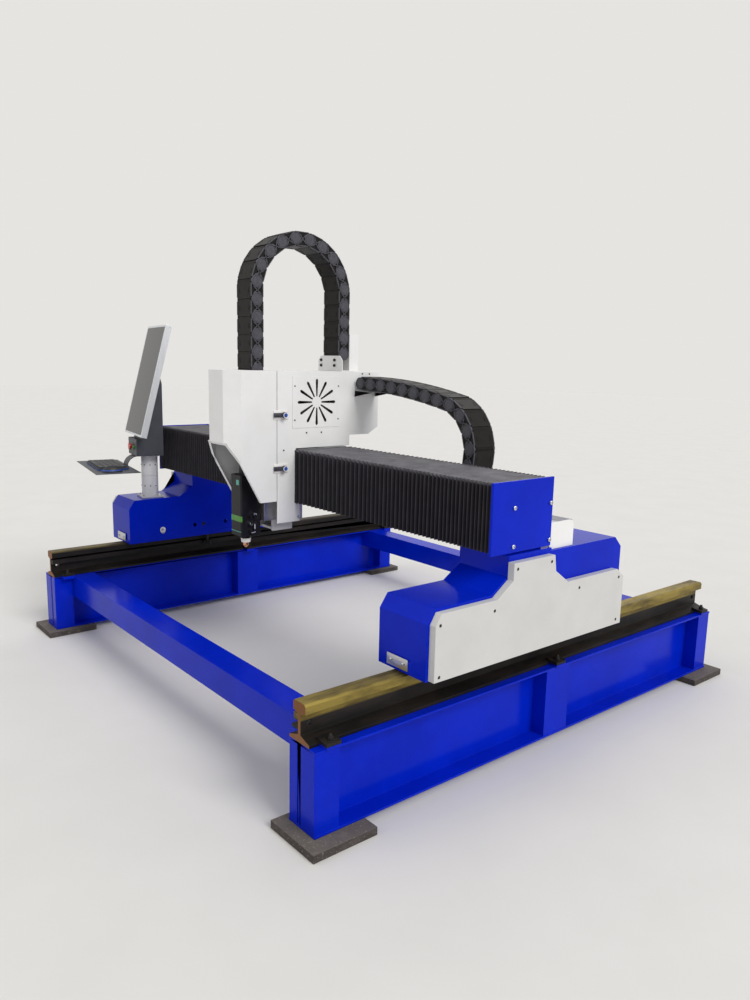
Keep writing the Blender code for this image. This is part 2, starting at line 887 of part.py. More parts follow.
def make_bellows(name, start, stop):
    """An inverted channel of zigzag folds: a grid of ridges and valleys, then a sheet thickness."""
    front, top = gantry_face - bellows_front, gantry_top + bellows_top
    rear = front + bellows_width
    low, lip = gantry_bottom + bellows_hem, top - bellows_lip
    shape = bmesh.new()
    rows = []
    for k in range(2 * fold_count + 1):
        x = start + (stop - start) * k / (2 * fold_count)
        inset = fold_depth * (k % 2)
        path = [
            (front + inset, low), (front + inset, top - inset),
            (rear - inset, top - inset), (rear - inset, lip),
        ]
        rows.append([shape.verts.new((x, y, z)) for y, z in path])
    for near, far in zip(rows, rows[1:]):
        for k in range(len(near) - 1):
            shape.faces.new((near[k], near[k + 1], far[k + 1], far[k]))
    mesh = bpy.data.meshes.new(name)
    shape.to_mesh(mesh)
    shape.free()
    obj = bpy.data.objects.new(name, mesh)
    bpy.context.scene.collection.objects.link(obj)
    sheet = obj.modifiers.new("sheet", "SOLIDIFY")
    sheet.thickness = fold_sheet
    sheet.offset = -1
    piece(obj, name, "bellows", gantry)


# Carriage
def make_carriage_plate():
    half = housing_width / 2 - housing_sheet - touch
    low, top = gantry_bottom - plate_drop, gantry_top + top_plate_lift
    level = top + top_plate_thickness
    outline = [
        (plate_front, low), (plate_back, low), (plate_back, top),
        (plate_front + top_plate_depth, top), (plate_front + top_plate_depth, level),
        (plate_front, level),
    ]
    plate = prism(outline, middle_x - half, middle_x + half, "X")
    x, y = x_drive_place()
    cut(plate, rod(shaft_radius + run_gap, top_plate_thickness + overrun, (x, y, top)))
    for z in guide_heights():
        groove, side = guide_width / 2 + run_gap, block_width / 2
        inner, back = gantry_face - touch - guide_height - run_gap, gantry_face - block_foot_gap
        front = plate_back - bite
        profile = [
            (front, z - side), (back, z - side), (back, z - groove), (inner, z - groove),
            (inner, z + groove), (back, z + groove), (back, z + side), (front, z + side),
        ]
        for way in (-1, 1):
            x = middle_x + way * block_spacing / 2
            weld(plate, prism(profile, x - block_length / 2, x + block_length / 2, "X"))
    piece(plate, "carriage_plate", "aluminium", carriage)


def x_drive_place():
    """Axis of the cross travel pinion, behind the rack on top of the gantry tube."""
    return middle_x, gantry_face + top_rack_inset + top_rack_side + rack_root + pitch_radius


def make_x_motor():
    x, y = x_drive_place()
    foot = gantry_top + top_plate_lift + top_plate_thickness + touch
    middle = foot + gearbox_height
    gearbox = box(
        (x - gearbox_side / 2, y - gearbox_side / 2, foot),
        (x + gearbox_side / 2, y + gearbox_side / 2, middle + bite),
    )
    motor = box(
        (x - motor_side / 2, y - motor_side / 2, middle),
        (x + motor_side / 2, y + motor_side / 2, middle + motor_height),
    )
    piece(weld(gearbox, motor), "x_motor", "black", carriage)


def make_z_base():
    """An aluminium channel, open to the front, with an end plate at each end and two guides."""
    half, inside = z_base_width / 2, z_base_width / 2 - z_base_wall
    top = z_base_bottom + z_base_height
    base = box((middle_x - half, z_base_front, z_base_bottom), (middle_x + half, z_base_back, top))
    cut(
        base,
        box(
            (middle_x - inside, z_base_front - overrun, z_base_bottom + z_base_wall),
            (middle_x + inside, z_base_back - z_base_wall, top - z_base_wall),
        ),
    )
    bore_place = (middle_x, screw_y, (z_base_bottom + top) / 2)
    bore = rod(screw_radius + run_gap, z_base_height + overrun, bore_place)
    cut(base, bore)
    for way in (-1, 1):
        outer = middle_x + way * half
        inner = outer - way * z_guide_side
        guide = box(
            (min(inner, outer), z_base_front - z_guide_side, z_base_bottom),
            (max(inner, outer), z_base_front + bite, top),
        )
        weld(base, guide)
    piece(base, "z_base", "aluminium", carriage)


def make_z_screw():
    length = z_base_height - touch
    screw = rod(screw_radius, length, (middle_x, screw_y, z_base_bottom + z_base_height / 2))
    piece(smooth(screw), "z_screw", "steel", carriage)


def make_z_motor():
    foot = z_base_bottom + z_base_height + touch
    half = z_motor_side / 2
    motor = box(
        (middle_x - half, screw_y - half, foot), (middle_x + half, screw_y + half, foot + z_motor_height)
    )
    piece(motor, "z_motor", "black", carriage)


def make_z_slide():
    """The slide plate wraps both guides; its nut block reaches the screw, its tab holds the chain."""
    half = slide_half_width
    groove_out = z_base_width / 2 + run_gap
    groove_in = z_base_width / 2 - z_guide_side - run_gap
    floor = z_base_front - z_guide_side - run_gap
    right = [
        (half, slide_front), (half, slide_back), (groove_out, slide_back), (groove_out, floor),
        (groove_in, floor), (groove_in, slide_back),
    ]
    outline = [(middle_x + a, b) for a, b in right] + [(middle_x - a, b) for a, b in reversed(right)]
    slide = prism(outline, slide_bottom, slide_top, "Z")
    nut_top = slide_top - nut_drop
    nut = box(
        (middle_x - nut_width / 2, slide_back - bite, nut_top - nut_height),
        (middle_x + nut_width / 2, screw_y + nut_width / 2, nut_top),
    )
    cut(nut, rod(screw_radius + run_gap, nut_height + overrun, (middle_x, screw_y, nut_top - nut_height / 2)))
    tab = box(
        (middle_x - half, tab_front, slide_top - bite),
        (middle_x + half, tab_front + bracket_sheet, slide_top + slide_tab_height),
    )
    piece(weld(slide, nut, tab), "z_slide", "aluminium", z_slide)


def make_head():
    half = head_width / 2
    top = head_bottom + head_height
    outline = [
        (middle_x - half + head_edge, head_front), (middle_x + half - head_edge, head_front),
        (middle_x + half, head_front + head_edge), (middle_x + half, head_back),
        (middle_x - half, head_back), (middle_x - half, head_front + head_edge),
    ]
    head = prism(outline, head_bottom, top, "Z")
    place = (middle_x, beam_axis_y)
    collimator = rod(
        collimator_radius, collimator_height + bite, (*place, top + (collimator_height - bite) / 2)
    )
    ring_top = head_bottom - sensor_drop
    sensor = rod(sensor_radius, sensor_drop + bite, (*place, (head_bottom + ring_top + bite) / 2))
    weld(head, collimator, sensor)
    face = middle_x + half
    for up in fitting_rows_share:
        for back in fitting_columns_share:
            place = (
                face + (fitting_length - bite) / 2, head_front + head_depth * back,
                head_bottom + head_height * up,
            )
            fitting = rod(fitting_radius, fitting_length + bite, place, "X", sides=bolt_sides)
            weld(head, fitting)
    piece(smooth(head), "laser_head", "black", z_slide)


def make_nozzle():
    """A white ceramic ring, and the copper nozzle with its bore under it."""
    top = head_bottom - sensor_drop - touch
    ring = turned(
        [
            (nozzle_radius / 2, top), (ring_radius, top), (ring_radius - ring_taper, top - ring_height),
            (nozzle_radius / 2, top - ring_height),
        ],
        fine_sides, closed=True,
    )
    ring.location = (middle_x, beam_axis_y, 0)
    piece(ring, "ceramic_ring", "ceramic", z_slide)
    seat = top - ring_height - touch
    nozzle = turned(
        [
            (nozzle_bore * 2, seat), (nozzle_radius, seat), (nozzle_radius, seat - nozzle_height / 2),
            (nozzle_tip_radius, seat - nozzle_height), (nozzle_bore, seat - nozzle_height),
        ],
        closed=True,
    )
    nozzle.location = (middle_x, beam_axis_y, 0)
    piece(nozzle, "nozzle", "copper", z_slide)


# White housing
def make_front_cover():
    half, sheet = housing_width / 2, housing_sheet

    def plan(inset, rear):
        side, front = half - inset, housing_front + inset
        corner = front_chamfer - inset * tan(pi / 8)
        return [
            (middle_x - side, rear), (middle_x - side, front + corner),
            (middle_x - side + corner, front), (middle_x + side - corner, front),
            (middle_x + side, front + corner), (middle_x + side, rear),
        ]

    rear = seam - seam_gap
    cover = prism(plan(0, rear), cover_bottom, housing_top, "Z")
    cut(cover, prism(plan(sheet, rear + overrun), cover_bottom - overrun, housing_top - sheet, "Z"))
    slope = (face_bottom - cover_bottom) / (cover_heel - housing_front)
    front = housing_front - overrun
    wedge = [
        (front, cover_bottom - overrun), (cover_heel + overrun / slope, cover_bottom - overrun),
        (front, face_bottom + overrun * slope),
    ]
    cut(cover, prism(wedge, middle_x - half - overrun, middle_x + half + overrun, "X"))
    gap = chain_width / 2 + link_side + overrun / 2
    cut(
        cover,
        box(
            (middle_x - gap, chain_opening_front, housing_top - overrun),
            (middle_x + gap, rear + overrun, housing_top + overrun),
        ),
    )
    piece(cover, "front_cover", "white", carriage)


def make_rear_shell():
    half, sheet = housing_width / 2, housing_sheet
    front = seam + seam_gap
    outline = [
        (front, leg_bottom), (leg_step_rear, leg_bottom), (leg_step_rear, leg_step),
        (leg_rear, leg_step), (leg_rear, notch_top), (notch_rear, notch_top),
        (notch_rear, rear_underside), (housing_rear - rear_cut, rear_underside),
        (housing_rear, rear_low), (housing_rear, housing_top), (front, housing_top),
    ]
    shell = prism(outline, middle_x - half, middle_x + half, "X")
    inner = [
        (front - overrun, leg_bottom - overrun), (notch_rear, leg_bottom - overrun),
        (notch_rear, rear_underside + sheet), (housing_rear - rear_cut, rear_underside + sheet),
        (housing_rear - sheet, rear_low + sheet), (housing_rear - sheet, housing_top - sheet),
        (front - overrun, housing_top - sheet),
    ]
    cut(shell, prism(inner, middle_x - half + sheet, middle_x + half - sheet, "X"))
    cut(
        shell,
        rod(vent_hole_radius, overrun, (middle_x + half, vent_centre_y, vent_centre_z), "X", fine_sides),
    )
    piece(shell, "rear_shell", "white", carriage)


def make_vent_plate():
    y, z = vent_centre_y, vent_centre_z
    wide, high = vent_width / 2, vent_height / 2
    outline = [(y - wide, z - high), (y + wide, z - high), (y + wide, z + high), (y - wide, z + high)]
    slots = []
    for k in range(vent_slots):
        along = Vector((cos(2 * pi * k / vent_slots), sin(2 * pi * k / vent_slots)))
        across = Vector((-along.y, along.x)) * vent_slot_width / 2
        inner, outer = along * (vent_core_radius + vent_slot_width / 2), along * vent_radius
        tip = along * vent_slot_width / 2
        corners = (
            inner - across / 2, outer - across, outer + tip, outer + across, inner + across / 2,
        )
        slots.append([(y + c.x, z + c.y) for c in corners])
    face = middle_x + housing_width / 2 + touch
    plate = prism(outline, face, face + vent_thickness, "X", slots)
    boss_length = fan_boss_depth + bite
    boss = rod(fan_boss_radius, boss_length, (face + bite - boss_length / 2, y, z), "X")
    piece(weld(plate, boss), "vent_plate", "white", carriage)


def make_vent_fan():
    """A hub with pitched blades behind the vent plate."""
    face = middle_x + housing_width / 2 + touch
    x = face - fan_boss_depth - touch - fan_depth / 2
    fan = rod(fan_hub_radius, fan_depth, (x, vent_centre_y, vent_centre_z), "X")
    for k in range(fan_blades):
        angle = 2 * pi * k / fan_blades
        reach = fan_radius - fan_hub_radius + bite * 2
        blade = box(
            (-fan_blade_depth / 2, fan_hub_radius - bite * 2, -fan_blade_width / 2),
            (fan_blade_depth / 2, fan_hub_radius - bite * 2 + reach, fan_blade_width / 2),
        )
        blade.data.transform(Matrix.Translation(blade.location))
        blade.location = (0, 0, 0)
        blade.matrix_world = (
            Matrix.Translation((x, vent_centre_y, vent_centre_z))
            @ Matrix.Rotation(angle, 4, "X")
            @ Matrix.Rotation(fan_blade_pitch, 4, "Y")
        )
        bpy.context.view_layer.update()
        weld(fan, blade)
    piece(smooth(fan), "vent_fan", "black", carriage)


def make_latches():
    """Quarter turn latches: an arm over the seam, in one with its knob."""
    for side, way in (("right", 1), ("left", -1)):
        face = middle_x + way * (housing_width / 2 + touch)
        for level, z in zip(("upper", "lower"), latch_heights):
            y = seam + latch_offset
            arm = box(
                (min(face, face + way * latch_depth), y - latch_arm + latch_width / 2, z - latch_width / 2),
                (max(face, face + way * latch_depth), y + latch_width / 2, z + latch_width / 2),
            )
            knob_x = face + way * (latch_depth + latch_knob_depth / 2 - bite)
            knob = rod(latch_knob_radius, latch_knob_depth, (knob_x, y, z), "X", button_sides)
            weld(arm, knob)
            shift = arm.matrix_world.inverted() @ Vector((knob_x, y, z))
            arm.data.transform(Matrix.Translation(-shift))
            arm.location = (knob_x, y, z)
            piece(arm, "latch_%s_%s" % (level, side), "black", carriage)


# Energy chains
def chain_path(start, heading, links, turn_of):
    """Pivot places of a chain, walked link by link; turn_of gives the turn before each link."""
    places, headings = [Vector(start)], []
    for k in range(links):
        heading += turn_of(k)
        headings.append(heading)
        places.append(places[-1] + Vector((cos(heading), sin(heading))) * link_pitch)
    return places, headings


def off_path(place, heading, along, across):
    return (
        place.x + along * cos(heading) - across * sin(heading),
        place.y + along * sin(heading) + across * cos(heading),
    )


def chain_outline(places, headings):
    """Side view of a whole chain: a straight plate on each link, a waist over each pivot."""
    half, margin = link_height / 2, link_pitch * plate_end_share
    waist = half * notch_share
    upper, lower = [], []
    for k, heading in enumerate(headings):
        if k:
            between = (headings[k - 1] + heading) / 2
            upper.append(off_path(places[k], between, 0, waist))
            lower.append(off_path(places[k], between, 0, -waist))
        for along in (margin, link_pitch - margin):
            upper.append(off_path(places[k], heading, along, half))
            lower.append(off_path(places[k], heading, along, -half))
    start = arc(places[0], waist, headings[0] + pi / 2, headings[0] + 3 * pi / 2, 4)
    end = arc(places[-1], waist, headings[-1] - pi / 2, headings[-1] + pi / 2, 4)
    return [*start, *lower, *end, *reversed(upper)]


def make_chain(name, path, facing, middle, parent):
    """Two side walls of fused link plates, and an upper and a lower lid across every link."""
    places, headings = path
    inner, outer = chain_width / 2 - link_side, chain_width / 2
    outline = chain_outline(places, headings)
    walls = [
        prism(outline, middle + min(way * inner, way * outer), middle + max(way * inner, way * outer), facing)
        for way in (-1, 1)
    ]
    first, last = link_pitch * lid_start_share, link_pitch * (1 - lid_start_share)
    level, thick = link_height / 2 * lid_level_share, lid_thickness / 2
    lids = []
    for place, heading in zip(places, headings):
        for way in (-1, 1):
            corners = (
                (first, level - thick), (last, level - thick), (last, level + thick), (first, level + thick)
            )
            outline = [off_path(place, heading, along, way * across) for along, across in corners]
            lids.append(prism(outline, middle - inner - bite, middle + inner + bite, facing))
    piece(weld(group(walls), group(lids)), name, "chain", parent)


def half_loop(links, turn):
    """How far one bend carries a chain across its first heading, and along it."""
    steps = [(sin(turn * k / links), cos(turn * k / links)) for k in range(1, links + 1)]
    return sum(step[0] for step in steps) * link_pitch, sum(step[1] for step in steps) * link_pitch


def z_chain_path():
    """From the housing up, over and down to the slide, with as many whole links as reach it."""
    rise = round(z_chain_rise / link_pitch)
    bend = round(pi * z_chain_bend_radius / link_pitch)
    across, along = half_loop(bend, pi)
    foot = housing_top + z_chain_lift
    drop = foot + rise * link_pitch + along - slide_top - z_chain_end_room
    links = rise + bend + int(drop / link_pitch)
    rear = tab_front - touch - link_height / 2 + across
    return chain_path(
        (rear, foot), pi / 2, links, lambda k: pi / bend if rise <= k < rise + bend else 0
    )


def z_chain_rear():
    return z_chain_path()[0][0].x


def x_chain_counts():
    """Links of the run and of the bend, and the turn before each link of the run."""
    run = round(x_chain_run / link_pitch)
    return run, round((pi - x_chain_sag) * x_chain_bend_radius / link_pitch), x_chain_sag / run


def x_chain_level():
    """Height of the first pivot, with the last run lying in its tray."""
    run, bend, sag = x_chain_counts()
    left = (pi - x_chain_sag) / bend
    turns = [sag * k for k in range(1, run + 1)] + [x_chain_sag + left * k for k in range(1, bend + 1)]
    lying = tail_top + tray_lift + touch + link_height / 2
    return lying + sum(sin(turn) for turn in turns) * link_pitch


def x_chain_path():
    run, bend, sag = x_chain_counts()
    links = run + bend + round(x_chain_tray_run / link_pitch)

    def turn_of(k):
        if k < run:
            return -sag
        return (x_chain_sag - pi) / bend if k < run + bend else 0

    start = (middle_x + housing_width / 2 + x_chain_start, x_chain_level())
    return chain_path(start, 0, links, turn_of)


def make_chains():
    make_chain("z_chain", z_chain_path(), "X", middle_x, carriage)
    make_chain("x_chain", x_chain_path(), "Y", x_chain_rear - chain_width / 2, gantry)


def make_chain_tray():
    """A folded tray behind the gantry, held by an end plate on each truck."""
    floor = tail_top + tray_lift
    front = x_chain_rear - chain_width - tray_clearance - tray_sheet
    rear = x_chain_rear + tray_clearance + tray_sheet
    low, wall = floor - tray_sheet, floor + tray_wall_height
    outline = [
        (front, low), (rear, low), (rear, wall), (rear - tray_sheet, wall),
        (rear - tray_sheet, floor), (front + tray_sheet, floor), (front + tray_sheet, wall),
        (front, wall),
    ]
    left, right = -rail_gauge - gantry_end, gantry_end
    tray = prism(outline, left, right, "X")
    foot = tail_top + touch
    top = foot + tray_end_height
    front, rear = neck_rear + touch, rear + bracket_sheet
    corner = (rear - tray_end_round, top - tray_end_round)
    end = [(front, foot), (rear, foot), *arc(corner, tray_end_round, 0, pi / 2, 4), (front, top)]
    for x, way in ((left, -1), (right, 1)):
        near, far = x - way * bite, x + way * bracket_sheet
        weld(tray, prism(end, min(near, far), max(near, far), "X"))
    piece(tray, "chain_tray", "white", gantry)


def make_chain_brackets():
    """The plate and upright that hold the tall chain, and the shelf under the cross chain."""
    foot = housing_top + touch
    half, top = bracket_width / 2, housing_top + bracket_height
    near_face = z_chain_rear() - link_height / 2 - touch
    plate = prism(
        [
            (middle_x - half, foot), (middle_x + half, foot), (middle_x + half, top - bracket_cut),
            (middle_x + half - bracket_cut, top), (middle_x - half + bracket_cut, top),
            (middle_x - half, top - bracket_cut),
        ],
        near_face - bracket_sheet, near_face, "Y",
    )
    side, back = middle_x + chain_width / 2 + touch, z_chain_rear() + link_height / 2 + touch
    edge = middle_x - chain_width / 2
    upright = prism(
        [
            (edge, back), (side, back), (side, back + upright_flange),
            (side - bracket_sheet, back + upright_flange), (side - bracket_sheet, back + bracket_sheet),
            (edge, back + bracket_sheet),
        ],
        foot, foot + upright_height, "Z",
    )
    face = middle_x + housing_width / 2 + touch
    level = x_chain_level() - link_height / 2 - touch - bracket_sheet
    slope = tan(x_chain_counts()[2])
    near, far = x_chain_rear - chain_width, x_chain_rear
    shelf = prism(
        [
            (face, level - shelf_flange), (face + bracket_sheet, level - shelf_flange),
            (face + bracket_sheet, level), (face + shelf_reach, level - shelf_reach * slope),
            (face + shelf_reach, level - shelf_reach * slope + bracket_sheet / 2),
            (face, level + bracket_sheet / 2),
        ],
        near, far, "Y",
    )
    base = box(
        (edge, near_face - bracket_sheet + bite, foot),
        (middle_x + half - bite, back + bracket_sheet - bite, foot + bracket_sheet),
    )
    piece(weld(plate, base, upright), "z_chain_bracket", "white", carriage)
    piece(shelf, "x_chain_shelf", "white", carriage)


# Console. Its pieces are drawn round the column and turned with it.
def make_console():
    half = base_plate_side / 2
    plate_top = column_foot + base_plate_thickness
    base = box((-half, -half, column_foot), (half, half, plate_top))
    lower_place = (0, 0, plate_top + (lower_column - bite) / 2)
    lower = rod(column_radius, lower_column + bite, lower_place, sides=fine_sides)
    piece(smooth(weld(base, lower)), "console_base", "column", console, local=True)

    flange_low = upper_column_foot + upper_column
    upper_place = (0, 0, upper_column_foot + (upper_column + bite) / 2)
    column = rod(column_radius, upper_column + bite, upper_place, sides=fine_sides)
    flange_place = (0, 0, flange_low + neck_flange_height / 2)
    flange = rod(neck_flange_radius, neck_flange_height, flange_place, sides=fine_sides)
    piece(smooth(weld(column, flange)), "console_column", "column", console, local=True)

    edge = box_foot + monitor_lift
    back_v = -monitor_front + (monitor_depth + touch) * cos(monitor_lean)
    back_z = edge - (monitor_depth + touch) * sin(monitor_lean)
    top = box_foot + console_box_height
    lean = tan(monitor_lean)
    panel = box_foot + console_panel_height
    outline = [
        (console_box_back, box_foot), (console_box_back, box_foot + console_box_shoulder),
        (back_v + (top - back_z) * lean, top), (back_v + (panel - back_z) * lean, panel),
        (-console_box_front, panel), (-console_box_front, box_foot),
    ]
    body = prism(outline, -console_box_width / 2, console_box_width / 2, "X")
    stop_z = box_foot + stop_lift
    for u, radius in ((0, stop_radius / 2), (button_offset, button_radius)):
        well = plunger_depth + stop_travel + touch
        cut(body, rod(radius + run_gap, 2 * well, (u, -console_box_front, stop_z), "Y", button_sides))
    piece(body, "console_box", "console", console, local=True)

    frame = box((-monitor_width / 2, 0, 0), (monitor_width / 2, monitor_depth, monitor_height))
    cut(
        frame,
        box(
            (-monitor_width / 2 + bezel, -overrun, bezel),
            (monitor_width / 2 - bezel, glass_depth + touch, monitor_height - bezel),
        ),
    )
    pane = box(
        (-monitor_width / 2 + bezel + touch, 0, bezel + touch),
        (monitor_width / 2 - bezel - touch, glass_depth, monitor_height - bezel - touch),
    )
    lean_back = Matrix.Translation((0, -monitor_front, edge)) @ Matrix.Rotation(-monitor_lean, 4, "X")
    for obj, name, look in ((frame, "monitor_frame", "aluminium"), (pane, "screen", "glass")):
        obj.matrix_world = lean_back @ obj.matrix_world
        bpy.context.view_layer.update()
        piece(obj, name, look, console, local=True)

    inner = plunger_depth - console_box_front
    length = stop_stem + plunger_depth
    stem = rod(stop_radius / 2, length, (0, inner - length / 2, stop_z), "Y", button_sides)
    cap_length = stop_height - stop_stem + bite
    cap_front = -console_box_front - stop_height
    cap = rod(stop_radius, cap_length, (0, cap_front + cap_length / 2, stop_z), "Y", button_sides)
    piece(smooth(weld(stem, cap)), "emergency_stop", "red", console, local=True)
    length = button_height + plunger_depth
    button = rod(button_radius, length, (button_offset, inner - length / 2, stop_z), "Y", button_sides)
    piece(smooth(button), "start_button", "green", console, local=True)


def make_tray():
    level = box_foot - tray_drop
    rear = tray_depth - tray_front
    tray = box((-tray_width / 2, -tray_front, level - tray_thickness), (tray_width / 2, rear, level))
    top = box_foot - touch
    bend = top - level
    turn = (-arm_bend, level - tray_thickness)
    outer = arc(turn, bend + tray_thickness, pi / 2, pi, 4)
    inner = arc(turn, bend + tray_thickness - arm_thickness, pi, pi / 2, 4)
    foot = -neck_flange_radius - arm_gap
    strip = [(foot, top), *outer, *inner, (foot, top - arm_thickness)]
    arm = prism(strip, -arm_width / 2, arm_width / 2, "X")
    piece(weld(tray, arm), "keyboard_tray", "console", console, local=True)

    foot = level + touch
    left, front = -keyboard_left, -keyboard_front
    board = box((left, front, foot), (left + keyboard_width, front + keyboard_depth, foot + keyboard_height))
    row = (keyboard_depth - 2 * key_margin) / key_rows
    key_foot = foot + keyboard_height - bite
    for k in range(key_rows):
        start = front + key_margin + row * k
        keys = box(
            (left + key_margin, start, key_foot),
            (left + keyboard_width - key_margin, start + row * key_row_share, key_foot + key_height),
        )
        weld(board, keys)
    piece(board, "keyboard", "black", console, local=True)

    bpy.ops.mesh.primitive_uv_sphere_add(segments=12, ring_count=6, radius=1)
    mouse = bpy.context.object
    mouse.scale = (mouse_width / 2, mouse_length / 2, mouse_height)
    bpy.ops.object.transform_apply(location=False, rotation=False, scale=True)
    mouse.location = (mouse_right, mouse_length / 2 - mouse_front, foot)
    bpy.context.view_layer.update()
    cut(
        mouse,
        box(
            (mouse_right - mouse_width, -mouse_front - overrun, foot - mouse_height - overrun),
            (mouse_right + mouse_width, mouse_length - mouse_front + overrun, foot),
        ),
    )
    piece(smooth(mouse), "mouse", "black", console, local=True)


for side in beams:
    make_beam(side)
    make_rail(side)
    make_truck(side)
    make_truck_cover(side)
    make_truck_motor(side)
    for end, y in axle_places().items():
        make_wheel(side, end, y)
    x, y = drive_place(side)
    rack_low = rail_bottom + rack_lift
    shelf_top = truck_bottom + shelf_lift + shelf_thickness
    make_pinion("y_pinion_" + side, x, y, rack_low, rack_height, shelf_top, gantry)
tie_inset = end_stiffener + touch + tie_width / 2
make_tie("tie_front", bed_front + tie_inset)
make_tie("tie_rear", bed_rear - tie_inset)
make_feet()

make_gantry_beam()
for side in beams:
    make_end_plate(side)
bellows_edge = housing_width / 2 + touch
bellows_end = gantry_end
make_bellows("bellows_right", middle_x + bellows_edge, bellows_end)
make_bellows("bellows_left", -rail_gauge - bellows_end, middle_x - bellows_edge)

make_carriage_plate()
make_x_motor()
drive_x, drive_y = x_drive_place()
plate_level = gantry_top + top_plate_lift + top_plate_thickness
make_pinion("x_pinion", drive_x, drive_y, gantry_top + touch, top_rack_side, plate_level, carriage)
make_z_base()
make_z_screw()
make_z_motor()
make_z_slide()
make_head()
make_nozzle()
make_front_cover()
make_rear_shell()
make_vent_plate()
make_vent_fan()
make_latches()
make_chains()
make_chain_tray()
make_chain_brackets()
make_console()
make_tray()
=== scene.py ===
import bpy
import json
from math import cos, hypot, pi, radians, sin
from mathutils import Matrix, Vector

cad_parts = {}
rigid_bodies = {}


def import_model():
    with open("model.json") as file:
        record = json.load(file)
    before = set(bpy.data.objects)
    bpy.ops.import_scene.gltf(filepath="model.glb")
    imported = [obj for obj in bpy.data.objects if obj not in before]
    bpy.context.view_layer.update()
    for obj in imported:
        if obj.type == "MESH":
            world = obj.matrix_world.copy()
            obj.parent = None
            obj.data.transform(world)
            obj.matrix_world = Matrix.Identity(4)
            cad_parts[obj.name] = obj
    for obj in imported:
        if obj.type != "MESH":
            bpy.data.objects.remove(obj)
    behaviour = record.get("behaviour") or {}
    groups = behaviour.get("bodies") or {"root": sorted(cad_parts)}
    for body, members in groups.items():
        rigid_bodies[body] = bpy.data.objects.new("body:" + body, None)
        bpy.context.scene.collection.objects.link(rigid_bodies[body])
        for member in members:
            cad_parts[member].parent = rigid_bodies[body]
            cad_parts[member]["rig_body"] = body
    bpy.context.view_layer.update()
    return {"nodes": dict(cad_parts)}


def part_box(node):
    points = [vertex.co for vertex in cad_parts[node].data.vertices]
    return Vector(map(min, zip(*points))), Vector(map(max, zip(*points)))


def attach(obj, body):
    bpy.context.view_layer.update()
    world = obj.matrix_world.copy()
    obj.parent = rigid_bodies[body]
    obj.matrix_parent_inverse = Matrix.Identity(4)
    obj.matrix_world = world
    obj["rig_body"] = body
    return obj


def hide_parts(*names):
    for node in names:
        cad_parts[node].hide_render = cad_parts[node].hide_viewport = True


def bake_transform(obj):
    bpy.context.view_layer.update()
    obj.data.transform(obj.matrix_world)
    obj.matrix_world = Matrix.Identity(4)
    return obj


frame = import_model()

nodes = frame["nodes"]

# The camera of the photograph
cameraView = {
    "place": (1.9455, -1.4133, 1.541),
    "heading": 50.26,  # degrees to the left of straight back
    "tilt": -10.29,
    "roll": 1.25,
    "lens": 28.31,
    "sensor": 36,
    "shiftUp": 0.006,
}


def addCamera(view):
    camera = bpy.data.objects.new("photoCamera", bpy.data.cameras.new("photoCamera"))
    bpy.context.scene.collection.objects.link(camera)
    heading, tilt, roll = (radians(view[key]) for key in ("heading", "tilt", "roll"))
    forward = Vector((-sin(heading) * cos(tilt), cos(heading) * cos(tilt), sin(tilt)))
    level = Vector((cos(heading), sin(heading), 0))
    upright = level.cross(forward)
    side = level * cos(roll) + upright * sin(roll)
    top = upright * cos(roll) - level * sin(roll)
    camera.matrix_world = Matrix((
        (side.x, top.x, -forward.x, view["place"][0]),
        (side.y, top.y, -forward.y, view["place"][1]),
        (side.z, top.z, -forward.z, view["place"][2]),
        (0, 0, 0, 1),
    ))
    camera.data.sensor_width = view["sensor"]
    camera.data.lens = view["lens"]
    camera.data.shift_y = view["shiftUp"]
    bpy.context.scene.camera = camera


addCamera(cameraView)
bpy.context.scene.view_settings.view_transform = "Standard"
print("camera in place")


# Working helpers
sideWays = (("right", "Right", 1), ("left", "Left", -1))  # side, its name in pieces, outward way in X


def faceAt(node, way):  # the X of its outer face, or of its inner face with -way
    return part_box(node)[1 if way > 0 else 0].x


def clearSelection():
    bpy.ops.object.select_all(action="DESELECT")
    bpy.context.view_layer.objects.active = None


def pickOnly(obj):
    clearSelection()
    obj.select_set(True)
    bpy.context.view_layer.objects.active = obj


def settle(obj):  # puts its place, turn and size into the mesh
    pickOnly(obj)
    bpy.ops.object.transform_apply(location=True, rotation=True, scale=True)
    return obj


def withModifier(obj, kind, **values):
    pickOnly(obj)
    modifier = obj.modifiers.new(kind.lower(), kind)
    for key, value in values.items():
        setattr(modifier, key, value)
    bpy.ops.object.modifier_apply(modifier=modifier.name)
    return obj


def editFaces(obj, wanted):  # edit mode, with only the faces that wanted() accepts
    pickOnly(obj)
    bpy.ops.object.mode_set(mode="EDIT")
    bpy.ops.mesh.select_mode(type="FACE")
    bpy.ops.mesh.select_all(action="DESELECT")
    bpy.ops.object.mode_set(mode="OBJECT")
    for face in obj.data.polygons:
        face.select = bool(wanted(face))
    bpy.ops.object.mode_set(mode="EDIT")


def editAll(obj):  # edit mode, with everything selected
    pickOnly(obj)
    bpy.ops.object.mode_set(mode="EDIT")
    bpy.ops.mesh.select_all(action="SELECT")


def leaveEdit():
    bpy.ops.object.mode_set(mode="OBJECT")


def upperFace(face):
    return face.normal.z > 0.9


def insetFaces(obj, wanted, rings):  # each ring: how wide, and how far its inside is raised
    editFaces(obj, wanted)
    for wide, rise in rings:
        bpy.ops.mesh.inset(thickness=wide, depth=rise)
    leaveEdit()
    return obj


def rename(obj, name):
    obj.name = name
    obj.data.name = name


def softenEdges(obj, edge, segments=2):
    return withModifier(
        obj, "BEVEL", width=edge, segments=segments, limit_method="ANGLE", angle_limit=radians(32),
        use_clamp_overlap=False)


